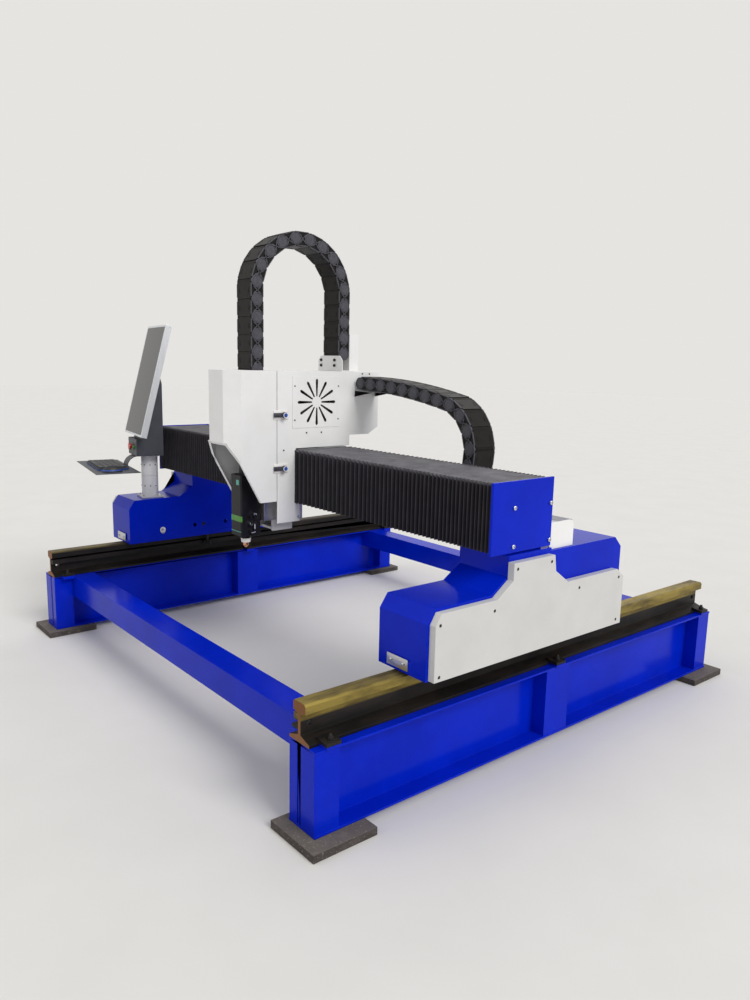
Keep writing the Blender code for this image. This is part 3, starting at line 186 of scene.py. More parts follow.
def addBlock(low, high, edge=0.0, segments=2):
    clearSelection()
    low, high = Vector(low), Vector(high)
    bpy.ops.mesh.primitive_cube_add(size=1, location=(low + high) / 2)
    block = bpy.context.object
    block.scale = high - low
    settle(block)
    if edge:
        softenEdges(block, edge, segments)
    return block


def addRod(radius, start, end, sides=24, edge=0.0):
    clearSelection()
    start, end = Vector(start), Vector(end)
    bpy.ops.mesh.primitive_cylinder_add(vertices=sides, radius=radius, depth=(end - start).length)
    rod = bpy.context.object
    rod.matrix_world = pointing((start + end) / 2, end - start)
    settle(rod)
    if edge:
        softenEdges(rod, edge)
    return rod


def pointing(place, axis, turn=0.0):  # a matrix whose Z looks along axis
    direction = Vector(axis).normalized()
    facing = direction.to_track_quat("Z", "Y").to_matrix().to_4x4()
    return Matrix.Translation(place) @ facing @ Matrix.Rotation(turn, 4, "Z")


def joinAll(parts, name):
    clearSelection()
    for part in parts:
        part.select_set(True)
    bpy.context.view_layer.objects.active = parts[0]
    if len(parts) > 1:
        bpy.ops.object.join()
    joined = bpy.context.object
    rename(joined, name)
    return joined


def copiesAt(source, places, name):  # one copy of source, with its own mesh, at each matrix
    parts = []
    for place in places:
        part = source.copy()
        part.data = source.data.copy()
        bpy.context.scene.collection.objects.link(part)
        part.matrix_world = place
        parts.append(settle(part))
    bpy.data.objects.remove(source)
    return joinAll(parts, name)


def cutWith(obj, cutter):
    withModifier(obj, "BOOLEAN", object=cutter, operation="DIFFERENCE", solver="EXACT")
    bpy.data.objects.remove(cutter)
    return obj


# Finishes
def hexColour(code):
    values = [int(code[k:k + 2], 16) / 255 for k in (1, 3, 5)]
    return (*[v / 12.92 if v <= 0.04045 else ((v + 0.055) / 1.055) ** 2.4 for v in values], 1)


rgba = {"data_type": "RGBA"}


def newMaterial(name):
    material = bpy.data.materials.new(name)
    material.use_nodes = True
    return material, material.node_tree, material.node_tree.nodes["Principled BSDF"]


def setInputs(tree, node, inputs):  # a node given as an input stands for its first output
    for key, value in inputs.items():
        if isinstance(value, bpy.types.Node):
            value = value.outputs[0]
        if isinstance(value, bpy.types.NodeSocket):
            tree.links.new(value, node.inputs[key])
        else:
            node.inputs[key].default_value = value


def addNode(tree, kind, settings=None, inputs=None):
    node = tree.nodes.new("ShaderNode" + kind)
    for key, value in (settings or {}).items():
        setattr(node, key, value)
    setInputs(tree, node, inputs or {})
    return node


def makeFinish(name, first, second, blotchMm, grainMm, grainDepthMm, rough, look=None):
    look = look or {}
    material, tree, shader = newMaterial(name)
    place = addNode(tree, "TexCoord")
    stretch = look.get("stretch", (1, 1, 1))  # below 1 along the brushing or rolling
    pattern = addNode(tree, "Mapping", inputs={"Vector": place.outputs["Object"], "Scale": stretch})
    blotch = addNode(tree, "TexNoise", inputs={
        "Vector": pattern, "Scale": 1000 / blotchMm, "Detail": 4, "Roughness": 0.6})
    spread = addNode(tree, "MapRange", inputs={"Value": blotch, "From Min": 0.35, "From Max": 0.65})
    colour = addNode(tree, "Mix", rgba, {0: spread, 6: hexColour(first), 7: hexColour(second)}).outputs[2]
    speck = addNode(tree, "TexNoise", inputs={
        "Vector": pattern, "Scale": 1000 / grainMm, "Detail": 3, "Roughness": 0.55})
    if "flecks" in look:
        share = addNode(tree, "MapRange", inputs={
            "Value": speck,
            "From Min": look.get("fleckFrom", 0.6), "From Max": look.get("fleckTo", 0.72)})
        colour = addNode(tree, "Mix", rgba, {0: share, 6: colour, 7: hexColour(look["flecks"])}).outputs[2]
    if "folds" in look:  # light hardly reaches the bottom of a fold in the upright walls
        spot = addNode(tree, "SeparateXYZ", inputs={0: place.outputs["Object"]})
        facing = addNode(tree, "SeparateXYZ", inputs={0: place.outputs["Normal"]})
        middle, half, depth = look["folds"]  # in Y: middle of the channel, half its width, depth of a fold
        away = addNode(tree, "Math", {"operation": "SUBTRACT"}, {0: spot.outputs["Y"], 1: middle})
        away = addNode(tree, "Math", {"operation": "ABSOLUTE"}, {0: away})
        share = addNode(tree, "MapRange", inputs={
            "Value": away, "From Min": half - depth * 0.8, "From Max": half - depth * 0.05})
        onTop = addNode(tree, "MapRange", inputs={
            "Value": facing.outputs["Z"], "From Min": 0.75, "From Max": 0.95})
        share = addNode(tree, "Math", {"operation": "MAXIMUM"}, {0: share, 1: onTop})
        colour = addNode(tree, "Mix", rgba, {0: share, 6: hexColour(look["inFold"]), 7: colour}).outputs[2]
    if "dust" in look:  # settles on what faces up
        up = addNode(tree, "SeparateXYZ", inputs={0: place.outputs["Normal"]})
        share = addNode(tree, "Math", {"operation": "MULTIPLY"}, {0: up.outputs["Z"], 1: blotch})
        share = addNode(tree, "MapRange", inputs={
            "Value": share, "From Min": 0.15, "From Max": 0.7, "To Max": look["dustShare"]})
        colour = addNode(tree, "Mix", rgba, {0: share, 6: colour, 7: hexColour(look["dust"])}).outputs[2]
    gloss = addNode(tree, "MapRange", inputs={
        "Value": speck, "From Min": 0.3, "From Max": 0.7, "To Min": rough[0], "To Max": rough[1]})
    bump = addNode(tree, "Bump", inputs={
        "Strength": look.get("bump", 0.3), "Distance": grainDepthMm / 1000, "Height": speck})
    setInputs(tree, shader, {
        "Base Color": colour, "Roughness": gloss, "Normal": bump, "Metallic": look.get("metal", 0),
        "Specular IOR Level": look.get("specular", 0.5), "Sheen Weight": look.get("sheen", 0),
        "Coat Weight": look.get("coat", 0), "Coat Roughness": 0.1})
    if not look.get("metal"):  # a metal keeps the default
        shader.inputs["IOR"].default_value = 1.5
    return material


# Name: two colours, size of the blotches between them, size and depth of the grain in mm, lowest and
# highest roughness, and what else the finish has
finishLooks = {
    # polyester powder coat, gloss: deep even blue with a soft orange peel, drawn at 5 mm to show
    "bluePowder": ("#0224bd", "#011fae", 260, 5, 0.1, (0.16, 0.24), {"bump": 0.08, "specular": 0.1}),
    # fine textured white powder coat on sheet steel, a little greyer on the covers of the trucks
    "whitePowder": ("#e8e7e5", "#e2e1de", 180, 3, 0.1, (0.38, 0.48), {"bump": 0.15}),
    "coverPowder": ("#c9c8c5", "#c4c2be", 180, 3, 0.1, (0.38, 0.48), {"bump": 0.15}),
    # rough sawn foot slabs: dark, pitted, with pale grit
    "sawnSlab": ("#4a4340", "#352f2d", 60, 7, 1.2, (0.8, 0.95), {
        "bump": 0.8, "flecks": "#8d8378", "dust": "#9c9284", "dustShare": 0.35}),
    # turned and ground steel: even grey with a fine grain
    "groundSteel": ("#b9bbbe", "#a5a8ac", 30, 2, 0.05, (0.22, 0.36), {"metal": 1, "bump": 0.2}),
    # bright zinc plated fasteners
    "brightZinc": ("#d3d6da", "#bfc2c6", 12, 1.5, 0.03, (0.2, 0.34), {"metal": 1}),
    # black oxide fasteners, dull with a brown cast
    "blackOxide": ("#1d1c1e", "#2a2625", 9, 1.2, 0.04, (0.38, 0.55), {"metal": 0.4}),
    # satin black paint on cast motor housings
    "motorPaint": ("#1b1c1f", "#232529", 60, 2, 0.15, (0.38, 0.5), {"bump": 0.3}),
    # black anodised aluminium: satin, slightly grey where the light falls
    "blackAnodised": ("#161519", "#1e1d21", 45, 0.9, 0.04, (0.3, 0.42), {"specular": 0.2}),
    # PVC coated polyester of the bellows: dull charcoal with a faint weave, drawn at 2.5 mm to show
    "coatedCloth": ("#39363b", "#312f34", 70, 2.5, 0.25, (0.5, 0.66), {
        "bump": 0.35, "sheen": 0.05, "specular": 0.15,
        "dust": "#7d7b80", "dustShare": 0.7, "folds": (0.8115, 0.1697, 0.021), "inFold": "#0e0c0f"}),
    # glass filled nylon of the energy chains: side plates dry and grey, lids darker and smoother
    "chainPlate": ("#4a4950", "#3c3b42", 14, 2.2, 0.2, (0.45, 0.62), {
        "bump": 0.4, "flecks": "#77767f", "fleckFrom": 0.62, "fleckTo": 0.8, "specular": 0.4}),
    "chainLid": ("#1d1b19", "#171513", 40, 1.6, 0.1, (0.36, 0.5), {"bump": 0.25, "specular": 0.15}),
    # milled aluminium with cutter lines across the plate
    "milledAluminium": ("#c9cacc", "#b4b6b9", 40, 3, 0.05, (0.28, 0.42), {
        "metal": 1, "stretch": (0.15, 1, 1), "bump": 0.3}),
    # the cast base of the Z axis, painted pale
    "silverPaint": ("#d3d2d0", "#cac8c6", 90, 2, 0.05, (0.34, 0.46), {"bump": 0.2}),
    # silver anodised extrusion round the monitor
    "silverAnodised": ("#dfe1e4", "#d3d6da", 50, 1.5, 0.04, (0.3, 0.4), {
        "metal": 0.6, "stretch": (1, 1, 0.1)}),
    # dark grey hammered powder coat of the console
    "greyPowder": ("#3d3f47", "#34363d", 90, 2.5, 0.3, (0.42, 0.56), {"bump": 0.4}),
    # painted cast aluminium arm: pale grey gloss
    "paleEnamel": ("#d2d1d3", "#c2c2c6", 80, 3, 0.06, (0.26, 0.36), {"coat": 0.15, "bump": 0.25}),
    # toughened glass over a dark display
    "displayGlass": ("#0e1113", "#14181b", 400, 40, 0.01, (0.05, 0.09), {"specular": 0.25, "bump": 0.02}),
    # sintered white ceramic of the nozzle holder
    "sinteredCeramic": ("#e9e4dd", "#e0dad2", 10, 0.8, 0.05, (0.3, 0.42)),
    # turned copper nozzle
    "turnedCopper": ("#dca27c", "#c88c66", 6, 0.8, 0.04, (0.22, 0.34), {"metal": 1}),
    # glossy moulded plastic of the two buttons
    "signalRed": ("#c01818", "#ad1414", 20, 1.5, 0.03, (0.25, 0.35), {"coat": 0.3}),
    "buttonGreen": ("#1f9a48", "#1b8a40", 20, 1.5, 0.03, (0.25, 0.35), {"coat": 0.3}),
    # moulded black ABS with a spark eroded texture
    "texturedAbs": ("#1c1d20", "#232428", 30, 1.4, 0.12, (0.45, 0.58), {"bump": 0.35}),
    # moulded ABS and nylon: satin, even in colour, with a fine grain from the mould
    "blueAbs": ("#1f4ea8", "#1a4494", 20, 1.4, 0.06, (0.32, 0.45)),
    "greyNylon": ("#3b3a42", "#302f37", 20, 1.4, 0.08, (0.35, 0.5)),
    "whiteNylon": ("#ece9e6", "#e2dfdb", 20, 1.4, 0.05, (0.35, 0.48)),
    # anodised band and moulded trims of the cutting head: clear, satin colours
    "greenAnodised": ("#4f8f3a", "#447f31", 20, 0.9, 0.03, (0.28, 0.4), {"metal": 0.3}),
    "tealTrim": ("#4fa896", "#459a89", 20, 1, 0.02, (0.25, 0.35)),
}
finishes = {name: makeFinish(name, *row) for name, row in finishLooks.items()}

# Rolled crane rail: mill-black foot and web, a straw-yellow film on the head, bare brown saw cuts
railLook = {
    "black": "#121110", "blackSecond": "#241f1c", "straw": "#978544", "strawSecond": "#5f5230",
    "cut": "#7d5330",
    "strawFrom": 0.404, "strawTo": 0.410, "ragged": 0.006,  # the film sets in between two heights
    "strawShadedFrom": 9, "strawShadeRamp": 0.5, "strawLeftInShade": 0.25,  # where in Y painted shade sets in on the head, over which length, and what share of the straw it leaves
    "grainMm": 6, "grainDepthMm": 0.6, "scaleMm": 70, "middle": 1.15, "half": 1.23, "cutDeep": 0.0004,
}
# The left rail is the same rolled rail as the right one; its copy paints shade on the head: darker straw, only
# on the top, fading to a quarter beyond 0.45 m in Y
leftRailShadedLook = dict(
    railLook, straw="#7d6f42", strawSecond="#3a342a", strawFrom=0.462, strawTo=0.470, strawShadedFrom=0.45)


def makeRailFinish(name, look):
    material, tree, shader = newMaterial(name)
    place = addNode(tree, "TexCoord")
    along = addNode(tree, "Mapping", inputs={"Vector": place.outputs["Object"], "Scale": (1, 0.25, 1)})
    scale = addNode(tree, "TexNoise", inputs={
        "Vector": along, "Scale": 1000 / look["scaleMm"], "Detail": 6, "Roughness": 0.65})
    grit = addNode(tree, "TexNoise", inputs={"Vector": along, "Scale": 1000 / look["grainMm"], "Detail": 3})
    patch = addNode(tree, "MapRange", inputs={"Value": scale, "From Min": 0.4, "From Max": 0.62})
    mill = addNode(tree, "Mix", rgba, {
        0: patch, 6: hexColour(look["black"]), 7: hexColour(look["blackSecond"])})
    film = addNode(tree, "Mix", rgba, {
        0: patch, 6: hexColour(look["straw"]), 7: hexColour(look["strawSecond"])})
    spot = addNode(tree, "SeparateXYZ", inputs={0: place.outputs["Object"]})
    height = addNode(tree, "Math", {"operation": "MULTIPLY_ADD"}, {
        0: scale, 1: look["ragged"], 2: spot.outputs["Z"]})
    lift = look["ragged"] / 2
    level = addNode(tree, "MapRange", inputs={
        "Value": height, "From Min": look["strawFrom"] + lift, "From Max": look["strawTo"] + lift})
    until = look["strawShadedFrom"]
    # painted shade along the head: the straw fades out from the given Y on
    fade = addNode(tree, "MapRange", inputs={
        "Value": spot.outputs["Y"], "From Min": until, "From Max": until + look["strawShadeRamp"],
        "To Min": 1.0, "To Max": look["strawLeftInShade"]})
    faded = addNode(tree, "Math", {"operation": "MULTIPLY"}, {0: level, 1: fade})
    level = addNode(tree, "MapRange", inputs={"Value": faded})
    toEnd = addNode(tree, "Math", {"operation": "SUBTRACT"}, {0: spot.outputs["Y"], 1: look["middle"]})
    ends = addNode(tree, "Math", {"operation": "ABSOLUTE"}, {0: toEnd})
    sawn = addNode(tree, "Math", {"operation": "GREATER_THAN"}, {0: ends, 1: look["half"] - look["cutDeep"]})
    both = addNode(tree, "Mix", rgba, {0: level, 6: mill.outputs[2], 7: film.outputs[2]})
    colour = addNode(tree, "Mix", rgba, {0: sawn, 6: both.outputs[2], 7: hexColour(look["cut"])})
    metal = addNode(tree, "MapRange", inputs={"Value": level, "To Min": 0, "To Max": 0.7})
    rough = addNode(tree, "MapRange", inputs={"Value": grit, "To Min": 0.35, "To Max": 0.62})
    bump = addNode(tree, "Bump", inputs={
        "Strength": 0.4, "Distance": look["grainDepthMm"] / 1000, "Height": grit})
    setInputs(tree, shader, {
        "Base Color": colour.outputs[2], "Metallic": metal, "Roughness": rough, "Normal": bump,
        "Specular IOR Level": 0.2})
    return material


finishes["rolledRail"] = makeRailFinish("rolledRail", railLook)
finishes["rolledRailLeftShaded"] = makeRailFinish("rolledRailLeftShaded", leftRailShadedLook)
print("finishes made:", len(finishes))


def finishPiece(obj, body, finish, smooth=35):  # body None: the piece is left without a body
    pickOnly(obj)
    bpy.ops.object.shade_smooth_by_angle(angle=radians(smooth))
    obj.data.materials.clear()
    obj.data.materials.append(finishes[finish])
    if body:
        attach(obj, body)
    return obj


def addSmall(parts, name, body, finish):
    return finishPiece(joinAll(parts, name), body, finish)


# Rigid CAD nodes are shown by merged copies of themselves with softened edges. The keyboard and the latches
# are built further down.
edgeWork = {
    # finish: slot, softened edge in metres, nodes
    "bluePowder": ("blue_paint", 0.0016, [
        "beam_left", "beam_right", "tie_front", "tie_rear", "truck_left", "truck_right", "gantry_beam",
        "end_plate_left", "end_plate_right"]),
    "coverPowder": ("white_powder", 0.0014, ["truck_cover_left", "truck_cover_right"]),
    "whitePowder": ("white_powder", 0.0010, [
        "front_cover", "rear_shell", "vent_plate", "chain_tray", "z_chain_bracket", "x_chain_shelf"]),
    "sawnSlab": ("foot_slab", 0.0025, [
        "foot_plate_front_left", "foot_plate_front_right", "foot_plate_rear_left", "foot_plate_rear_right"]),
    "rolledRail": ("rail_steel", 0.0012, ["rail_right"]),
    # the left rail takes the copy of the rail finish with painted shade on its head
    "rolledRailLeftShaded": ("rail_steel", 0.0012, ["rail_left"]),
    "groundSteel": ("machined_steel", 0.0008, [
        "wheel_front_left", "wheel_front_right", "wheel_rear_left", "wheel_rear_right", "x_pinion", "z_screw"]),
    "blackOxide": ("machined_steel", 0.0006, ["y_pinion_left", "y_pinion_right"]),
    "motorPaint": ("motor_black", 0.0025, ["y_motor_left", "y_motor_right", "x_motor", "z_motor", "vent_fan"]),
    "milledAluminium": ("aluminium", 0.0010, ["carriage_plate", "z_slide"]),
    "silverPaint": ("aluminium", 0.0010, ["z_base"]),
    "blackAnodised": ("black_anodised", 0.0010, ["laser_head"]),
    "greyPowder": ("console_grey", 0.0015, ["console_box", "keyboard_tray"]),
    "silverAnodised": ("aluminium", 0.0015, ["monitor_frame"]),
    "paleEnamel": ("column_silver", 0.0012, ["console_base", "console_column"]),
    "displayGlass": ("screen_glass", 0.0006, ["screen"]),
    "sinteredCeramic": ("ceramic_white", 0.0008, ["ceramic_ring"]),
    "turnedCopper": ("copper", 0.0005, ["nozzle"]),
    "signalRed": ("stop_red", 0.0015, ["emergency_stop"]),
    "buttonGreen": ("button_green", 0.0012, ["start_button"]),
    "texturedAbs": ("key_black", 0.0020, ["mouse"]),
}


def pieceName(node):
    return "".join(word.capitalize() for word in node.replace("shell", "housing").split("_"))


def mergedCopy(node):
    source = nodes[node]
    copy = source.copy()
    copy.data = source.data.copy()
    for key in list(copy.keys()):
        del copy[key]
    copy.parent = None
    copy.matrix_world = Matrix.Identity(4)
    bpy.context.scene.collection.objects.link(copy)
    copy.hide_viewport = copy.hide_render = False
    copy.hide_set(False)
    rename(copy, pieceName(node))
    editAll(copy)
    bpy.ops.mesh.remove_doubles(threshold=0.00002)
    bpy.ops.mesh.dissolve_limited(angle_limit=radians(0.5))
    leaveEdit()
    return copy


shown = {node: mergedCopy(node) for slotName, edge, members in edgeWork.values() for node in members}
print("copies of the nodes:", len(shown))

# Recesses that the CAD leaves to the scene: gaps between the web of a beam and its stiffeners, screws of the
# truck covers, holes in the trucks and in the webs of the rails
beamGap = {"web": 0.0065, "wide": 0.0060, "deep": 0.020, "flange": 0.009}
truckScrews = {
    "places": [(0.372, 0.681), (0.374, 0.497), (0.641, 0.682), (0.756, 0.818), (0.951, 0.818), (1.136, 0.685),
               (1.406, 0.686), (1.406, 0.502)],
    "recess": 0.0014, "recessRadius": 0.0062, "radius": 0.0055, "depth": 0.0010, "sunk": 0.0002,
}
innerHoles = {
    "places": [(y, 0.546) for y in (0.752, 0.811, 0.961, 1.248)], "radius": 0.0120, "depth": 0.012}
webHoles = {"radius": 0.010, "fromEnd": 0.036, "height": 0.392}
spare = 0.01  # how far a cutter stands proud
for node in ("beam_left", "beam_right"):
    low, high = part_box(node)
    middle, first = (low.x + high.x) / 2, beamGap["web"] / 2
    for end, inward in ((low.y, 1), (high.y, -1)):
        near, far = sorted((end - inward * spare, end + inward * beamGap["deep"]))
        for way in (-1, 1):
            left, right = sorted((middle + way * first, middle + way * (first + beamGap["wide"])))
            cutWith(shown[node], addBlock(
                (left, near, low.z + beamGap["flange"]), (right, far, high.z - beamGap["flange"])))

for side, title, way in sideWays:
    inner = faceAt("truck_" + side, -way)
    for y, z in innerHoles["places"]:
        start, end = (inner + way * innerHoles["depth"], y, z), (inner - way * spare, y, z)
        cutWith(shown["truck_" + side], addRod(innerHoles["radius"], start, end, 20))
    outer = faceAt("truck_cover_" + side, way)
    for y, z in truckScrews["places"]:
        start, end = (outer - way * truckScrews["recess"], y, z), (outer + way * spare, y, z)
        cutWith(shown["truck_cover_" + side], addRod(truckScrews["recessRadius"], start, end, 20))
    low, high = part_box("rail_" + side)
    for y in (low.y + webHoles["fromEnd"], high.y - webHoles["fromEnd"]):
        start, end = (low.x - spare, y, webHoles["height"]), (high.x + spare, y, webHoles["height"])
        cutWith(shown["rail_" + side], addRod(webHoles["radius"], start, end, 20))

for finish, (slotName, edge, members) in edgeWork.items():
    for node in members:
        obj = softenEdges(shown[node], edge)
        finishPiece(obj, nodes[node]["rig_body"], finish)
        withModifier(obj, "WEIGHTED_NORMAL", keep_sharp=True, weight=80)
        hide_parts(node)
print("copies finished")


# Fasteners, each modelled once at the origin, looking up Z
def addDisc(sides, radius, height, low=0.0):
    clearSelection()
    bpy.ops.mesh.primitive_cylinder_add(
        vertices=sides, radius=radius, depth=height, location=(0, 0, low + height / 2))
    return settle(bpy.context.object)


def domeScrew(head, height):
    screw = addDisc(12, head / 2, height)
    editFaces(screw, upperFace)
    bpy.ops.mesh.inset(thickness=head * 0.12, depth=0)
    bpy.ops.transform.translate(value=(0, 0, height * 0.25))
    bpy.ops.mesh.inset(thickness=head * 0.14, depth=0)
    bpy.ops.mesh.inset(thickness=0.0002, depth=-height * 0.6)
    leaveEdit()
    return screw


def hexHead(flat, height, washer):
    head = insetFaces(addDisc(6, flat / 1.732, height, washer), upperFace, [(flat * 0.08, height * 0.12)])
    ring = addRod(flat * 0.72, (0, 0, 0), (0, 0, washer), 20)
    return joinAll([head, ring], "hexHead")


def flushScrew(radius, depth):
    screw = addDisc(16, radius, depth, -depth)
    return insetFaces(screw, upperFace, [(radius * 0.5, 0), (0.0002, -depth * 0.6)])


def fasten(source, places, axis, name, body, finish):  # each copy is turned a little further than the last
    matrices = [pointing(place, axis, 0.4 * k) for k, place in enumerate(places)]
    return finishPiece(copiesAt(source, matrices, name), body, finish, 40)


endPlateScrews = {
    "places": [(0.758, 1.038), (0.965, 1.038), (0.760, 0.894), (0.967, 0.895)], "head": 0.017, "height": 0.006}
for side, title, way in sideWays:
    face = faceAt("truck_cover_" + side, way) - way * truckScrews["sunk"]
    places = [(face, y, z) for y, z in truckScrews["places"]]
    screw = flushScrew(truckScrews["radius"], truckScrews["depth"])
    fasten(screw, places, (way, 0, 0), "CoverScrews" + title, "gantry", "blackOxide")
    face = faceAt("end_plate_" + side, way)
    places = [(face, y, z) for y, z in endPlateScrews["places"]]
    screw = domeScrew(endPlateScrews["head"], endPlateScrews["height"])
    fasten(screw, places, (way, 0, 0), "EndPlateScrews" + title, "gantry", "brightZinc")
print("fasteners placed")

# Bellows: one grid, folded by moving its rows. The folds stand wide apart at the carriage and close up
# towards the truck.
bellowsFolds = {
    "pitches": (0.0345, 0.0325, 0.032, 0.0315, 0.027, 0.025, 0.0235, 0.0215, 0.020, 0.0175),
    "depth": 0.021, "topDepth": 0.0022, "notch": 0.015, "crestShare": 0.07, "sheet": 0.0009, "lip": 0.060,
    "waver": 0.0009, "edge": 0.024,
}


def foldStarts(length, pitches):
    starts, place = [0.0], 0.0
    while place < length:
        part = min(place / length, 0.999) * (len(pitches) - 1)
        share = part - int(part)
        place += pitches[int(part)] * (1 - share) + pitches[int(part) + 1] * share
        starts.append(place)
    return [start * length / starts[-1] for start in starts]


def foldedChannel(node, name, way, settings):  # way in X from the carriage
    low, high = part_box(node)
    starts = foldStarts(high.x - low.x, settings["pitches"])
    folds = len(starts) - 1
    deep, flat, notch = settings["depth"], settings["topDepth"], settings["notch"]
    middle, edge, lip = (low.y + high.y) / 2, high.z - settings["edge"], high.z - settings["lip"]
    rows = [  # ridge place (y, z), and how far its valley goes in
        ((low.y, low.z), (deep, 0)), ((low.y, (low.z + high.z) / 2), (deep, 0)), ((low.y, edge), (deep, 0)),
        ((low.y, high.z), (deep * 0.8, -notch)), ((low.y + deep * 1.15, high.z), (0, -flat)),
        ((middle, high.z), (0, -flat)),
        ((high.y - deep * 1.15, high.z), (0, -flat)), ((high.y, high.z), (-deep * 0.8, -notch)),
        ((high.y, edge), (-deep, 0)), ((high.y, lip), (-deep, 0)),
    ]
    clearSelection()
    bpy.ops.mesh.primitive_grid_add(x_subdivisions=4 * folds, y_subdivisions=len(rows) - 1, size=1)
    cloth = bpy.context.object
    crest = settings["crestShare"]
    # columns of a fold: how far along it, and whether in its valley
    steps = ((0, 0), (crest, 0), (0.5 - crest * 0.4, 1), (0.5 + crest * 1.4, 1))
    for vertex in cloth.data.vertices:
        column = round((vertex.co.x + 0.5) * 4 * folds)
        row = round((vertex.co.y + 0.5) * (len(rows) - 1))
        fold, step = divmod(column, 4)
        near = starts[fold]
        wide = starts[min(fold + 1, folds)] - near
        along = near + wide * steps[step][0]
        (y, z), (inY, inZ) = rows[row]
        slack = settings["waver"] * (1 + sin(fold * 2.3 + row * 1.1)) * (1 - steps[step][1])
        x = low.x + along if way > 0 else high.x - along
        size = hypot(inY, inZ)
        y += inY * (steps[step][1] + slack / size * (abs(inY) > 0))
        vertex.co = (x, y, z + inZ * steps[step][1])
    editAll(cloth)
    if way > 0:
        bpy.ops.mesh.flip_normals()
    leaveEdit()
    withModifier(cloth, "SOLIDIFY", thickness=settings["sheet"], offset=-1)
    rename(cloth, name)
    return cloth


for side, title, way in sideWays:
    node = "bellows_" + side
    cloth = foldedChannel(node, "Bellows" + title, way, bellowsFolds)
    finishPiece(cloth, None, "coatedCloth", 15)
    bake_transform(cloth)
    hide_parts(node)
print("bellows folded")

# Energy chains: one link, copied from pivot to pivot
chainLink = {
    "pitch": 0.0775, "height": 0.065, "width": 0.130, "wall": 0.008, "floor": 0.0048, "level": 0.0014,
    "slant": 0.009, "disc": 0.0290, "rim": 0.0048, "rib": 0.0050, "ribLong": 0.025, "ribTurn": 50,
    "hubRings": ((0.0006, 0.0004), (0.0022, 0), (0.0008, -0.0022), (0.0024, 0), (0.0010, 0.0014)),
    "proud": 0.0004, "bar": (0.018, 0.006), "barPlaces": (-0.010, 0.004), "barDepth": 0.0020,
    "plateGap": 0.0006, "lid": 0.004, "lidRings": ((0.0035, 0), (0.0010, -0.0009)),
    "lidGap": 0.0012, "innerGap": 0.0060,  # at the ends of a lid, outside and inside the bend
    "catchFromWall": 0.016, "catchDepth": 0.0014, "tongue": 0.016, "tongueDrop": 0.006, "tongueThick": 0.003,
}


def makeSidePlates(settings, withTail):
    pitch, half, wide = settings["pitch"], settings["height"] / 2, settings["width"] / 2
    slant, rim, disc, long = settings["slant"], settings["rim"], settings["disc"], settings["ribLong"]
    proud, (barWide, barHigh) = settings["proud"], settings["bar"]
    parts = []
    for way in (-1, 1):
        inner, level, face = (way * (wide - drop) for drop in (settings["wall"], settings["level"], 0))
        near, far = sorted((inner, level))
        for edge in (-1, 1):
            low, high = sorted((edge * (half - proud), edge * (half - rim)))
            parts.append(addBlock((slant, near, low), (pitch - slant, far, high), 0.0008, 1))
            rib = addBlock((-long, near, -settings["rib"] / 2), (long, far, settings["rib"] / 2), 0.0006, 1)
            turn = Matrix.Rotation(radians(edge * settings["ribTurn"]), 4, "Y")
            rib.matrix_world = Matrix.Translation((pitch / 2, 0, 0)) @ turn
            parts.append(settle(rib))
        for x in (0, pitch) if withTail else (0,):
            hub = addRod(disc, (x, inner, 0), (x, face, 0), 28)
            insetFaces(hub, lambda surface: surface.normal.y * way > 0.9, settings["hubRings"])
            hub.data.transform(Matrix.Translation((0, -way * proud, 0)))
            parts.append(hub)
            barNear, barFar = sorted((face - way * settings["barDepth"], face - way * proud))
            for z in settings["barPlaces"]:
                parts.append(addBlock(
                    (x - barWide / 2, barNear, z), (x + barWide / 2, barFar, z + barHigh), 0.0004, 1))
    return joinAll(parts, "sidePlates")


def makeLids(settings, innerSide):
    pitch, half, wide = settings["pitch"], settings["height"] / 2, settings["width"] / 2 - settings["wall"]
    gap, slant = settings["plateGap"], settings["slant"]
    parts = []
    for way in (-1, 1):
        near, far = sorted((way * wide, way * (settings["width"] / 2 - settings["floor"])))
        plate = addBlock((gap, near, -half + 0.001), (pitch - gap, far, half - 0.001))
        for vertex in plate.data.vertices:  # its ends stand back, so neighbours clear in the bend
            vertex.co.x += slant if vertex.co.x < pitch / 2 else -slant
        parts += [plate, addBlock((gap, near, -half / 3), (pitch - gap, far, half / 3))]
        end = settings["lidGap"] if way != innerSide else settings["innerGap"]
        low, high = sorted((way * half, way * (half - settings["lid"])))
        lid = addBlock((end, -wide, low), (pitch - end, wide, high))
        parts.append(insetFaces(lid, lambda surface: surface.normal.z * way > 0.9, settings["lidRings"]))
        low, high = sorted((way * (half - settings["catchDepth"]), way * half))
        for side in (-1, 1):  # the catch that a screwdriver opens, and its slot
            y = side * (wide - settings["catchFromWall"])
            for begin, reach in ((0.36, 0.0015), (0.60, 0.0060)):
                parts.append(addBlock((pitch * begin, y - reach, low), (pitch * 0.64, y + reach, high)))
        drop = half - settings["tongueDrop"]
        low, high = sorted((way * drop, way * (drop - settings["tongueThick"])))
        parts.append(addBlock((-settings["tongue"], -wide, low), (settings["tongue"], wide, high)))
    return joinAll(parts, "lids")


def chainPlaces(start, heading, links, turnOf, settings):  # pivots, heading of each link, end of the last
    places, headings, point = [], [], Vector(start)
    for k in range(links):
        heading += turnOf(k)
        places.append(point.copy())
        headings.append(heading)
        point = point + Vector((cos(heading), sin(heading))) * settings["pitch"]
    return places, headings, point


def chainMatrices(places, headings, middle, facing):
    matrices = []
    for place, heading in zip(places, headings):
        c, s = cos(heading), sin(heading)
        if facing == "X":  # seen from the side of the machine
            matrices.append(Matrix(((0, -1, 0, middle), (c, 0, -s, place.x), (s, 0, c, place.y), (0, 0, 0, 1))))
        else:
            matrices.append(Matrix(((c, 0, -s, place.x), (0, 1, 0, middle), (s, 0, c, place.y), (0, 0, 0, 1))))
    return matrices


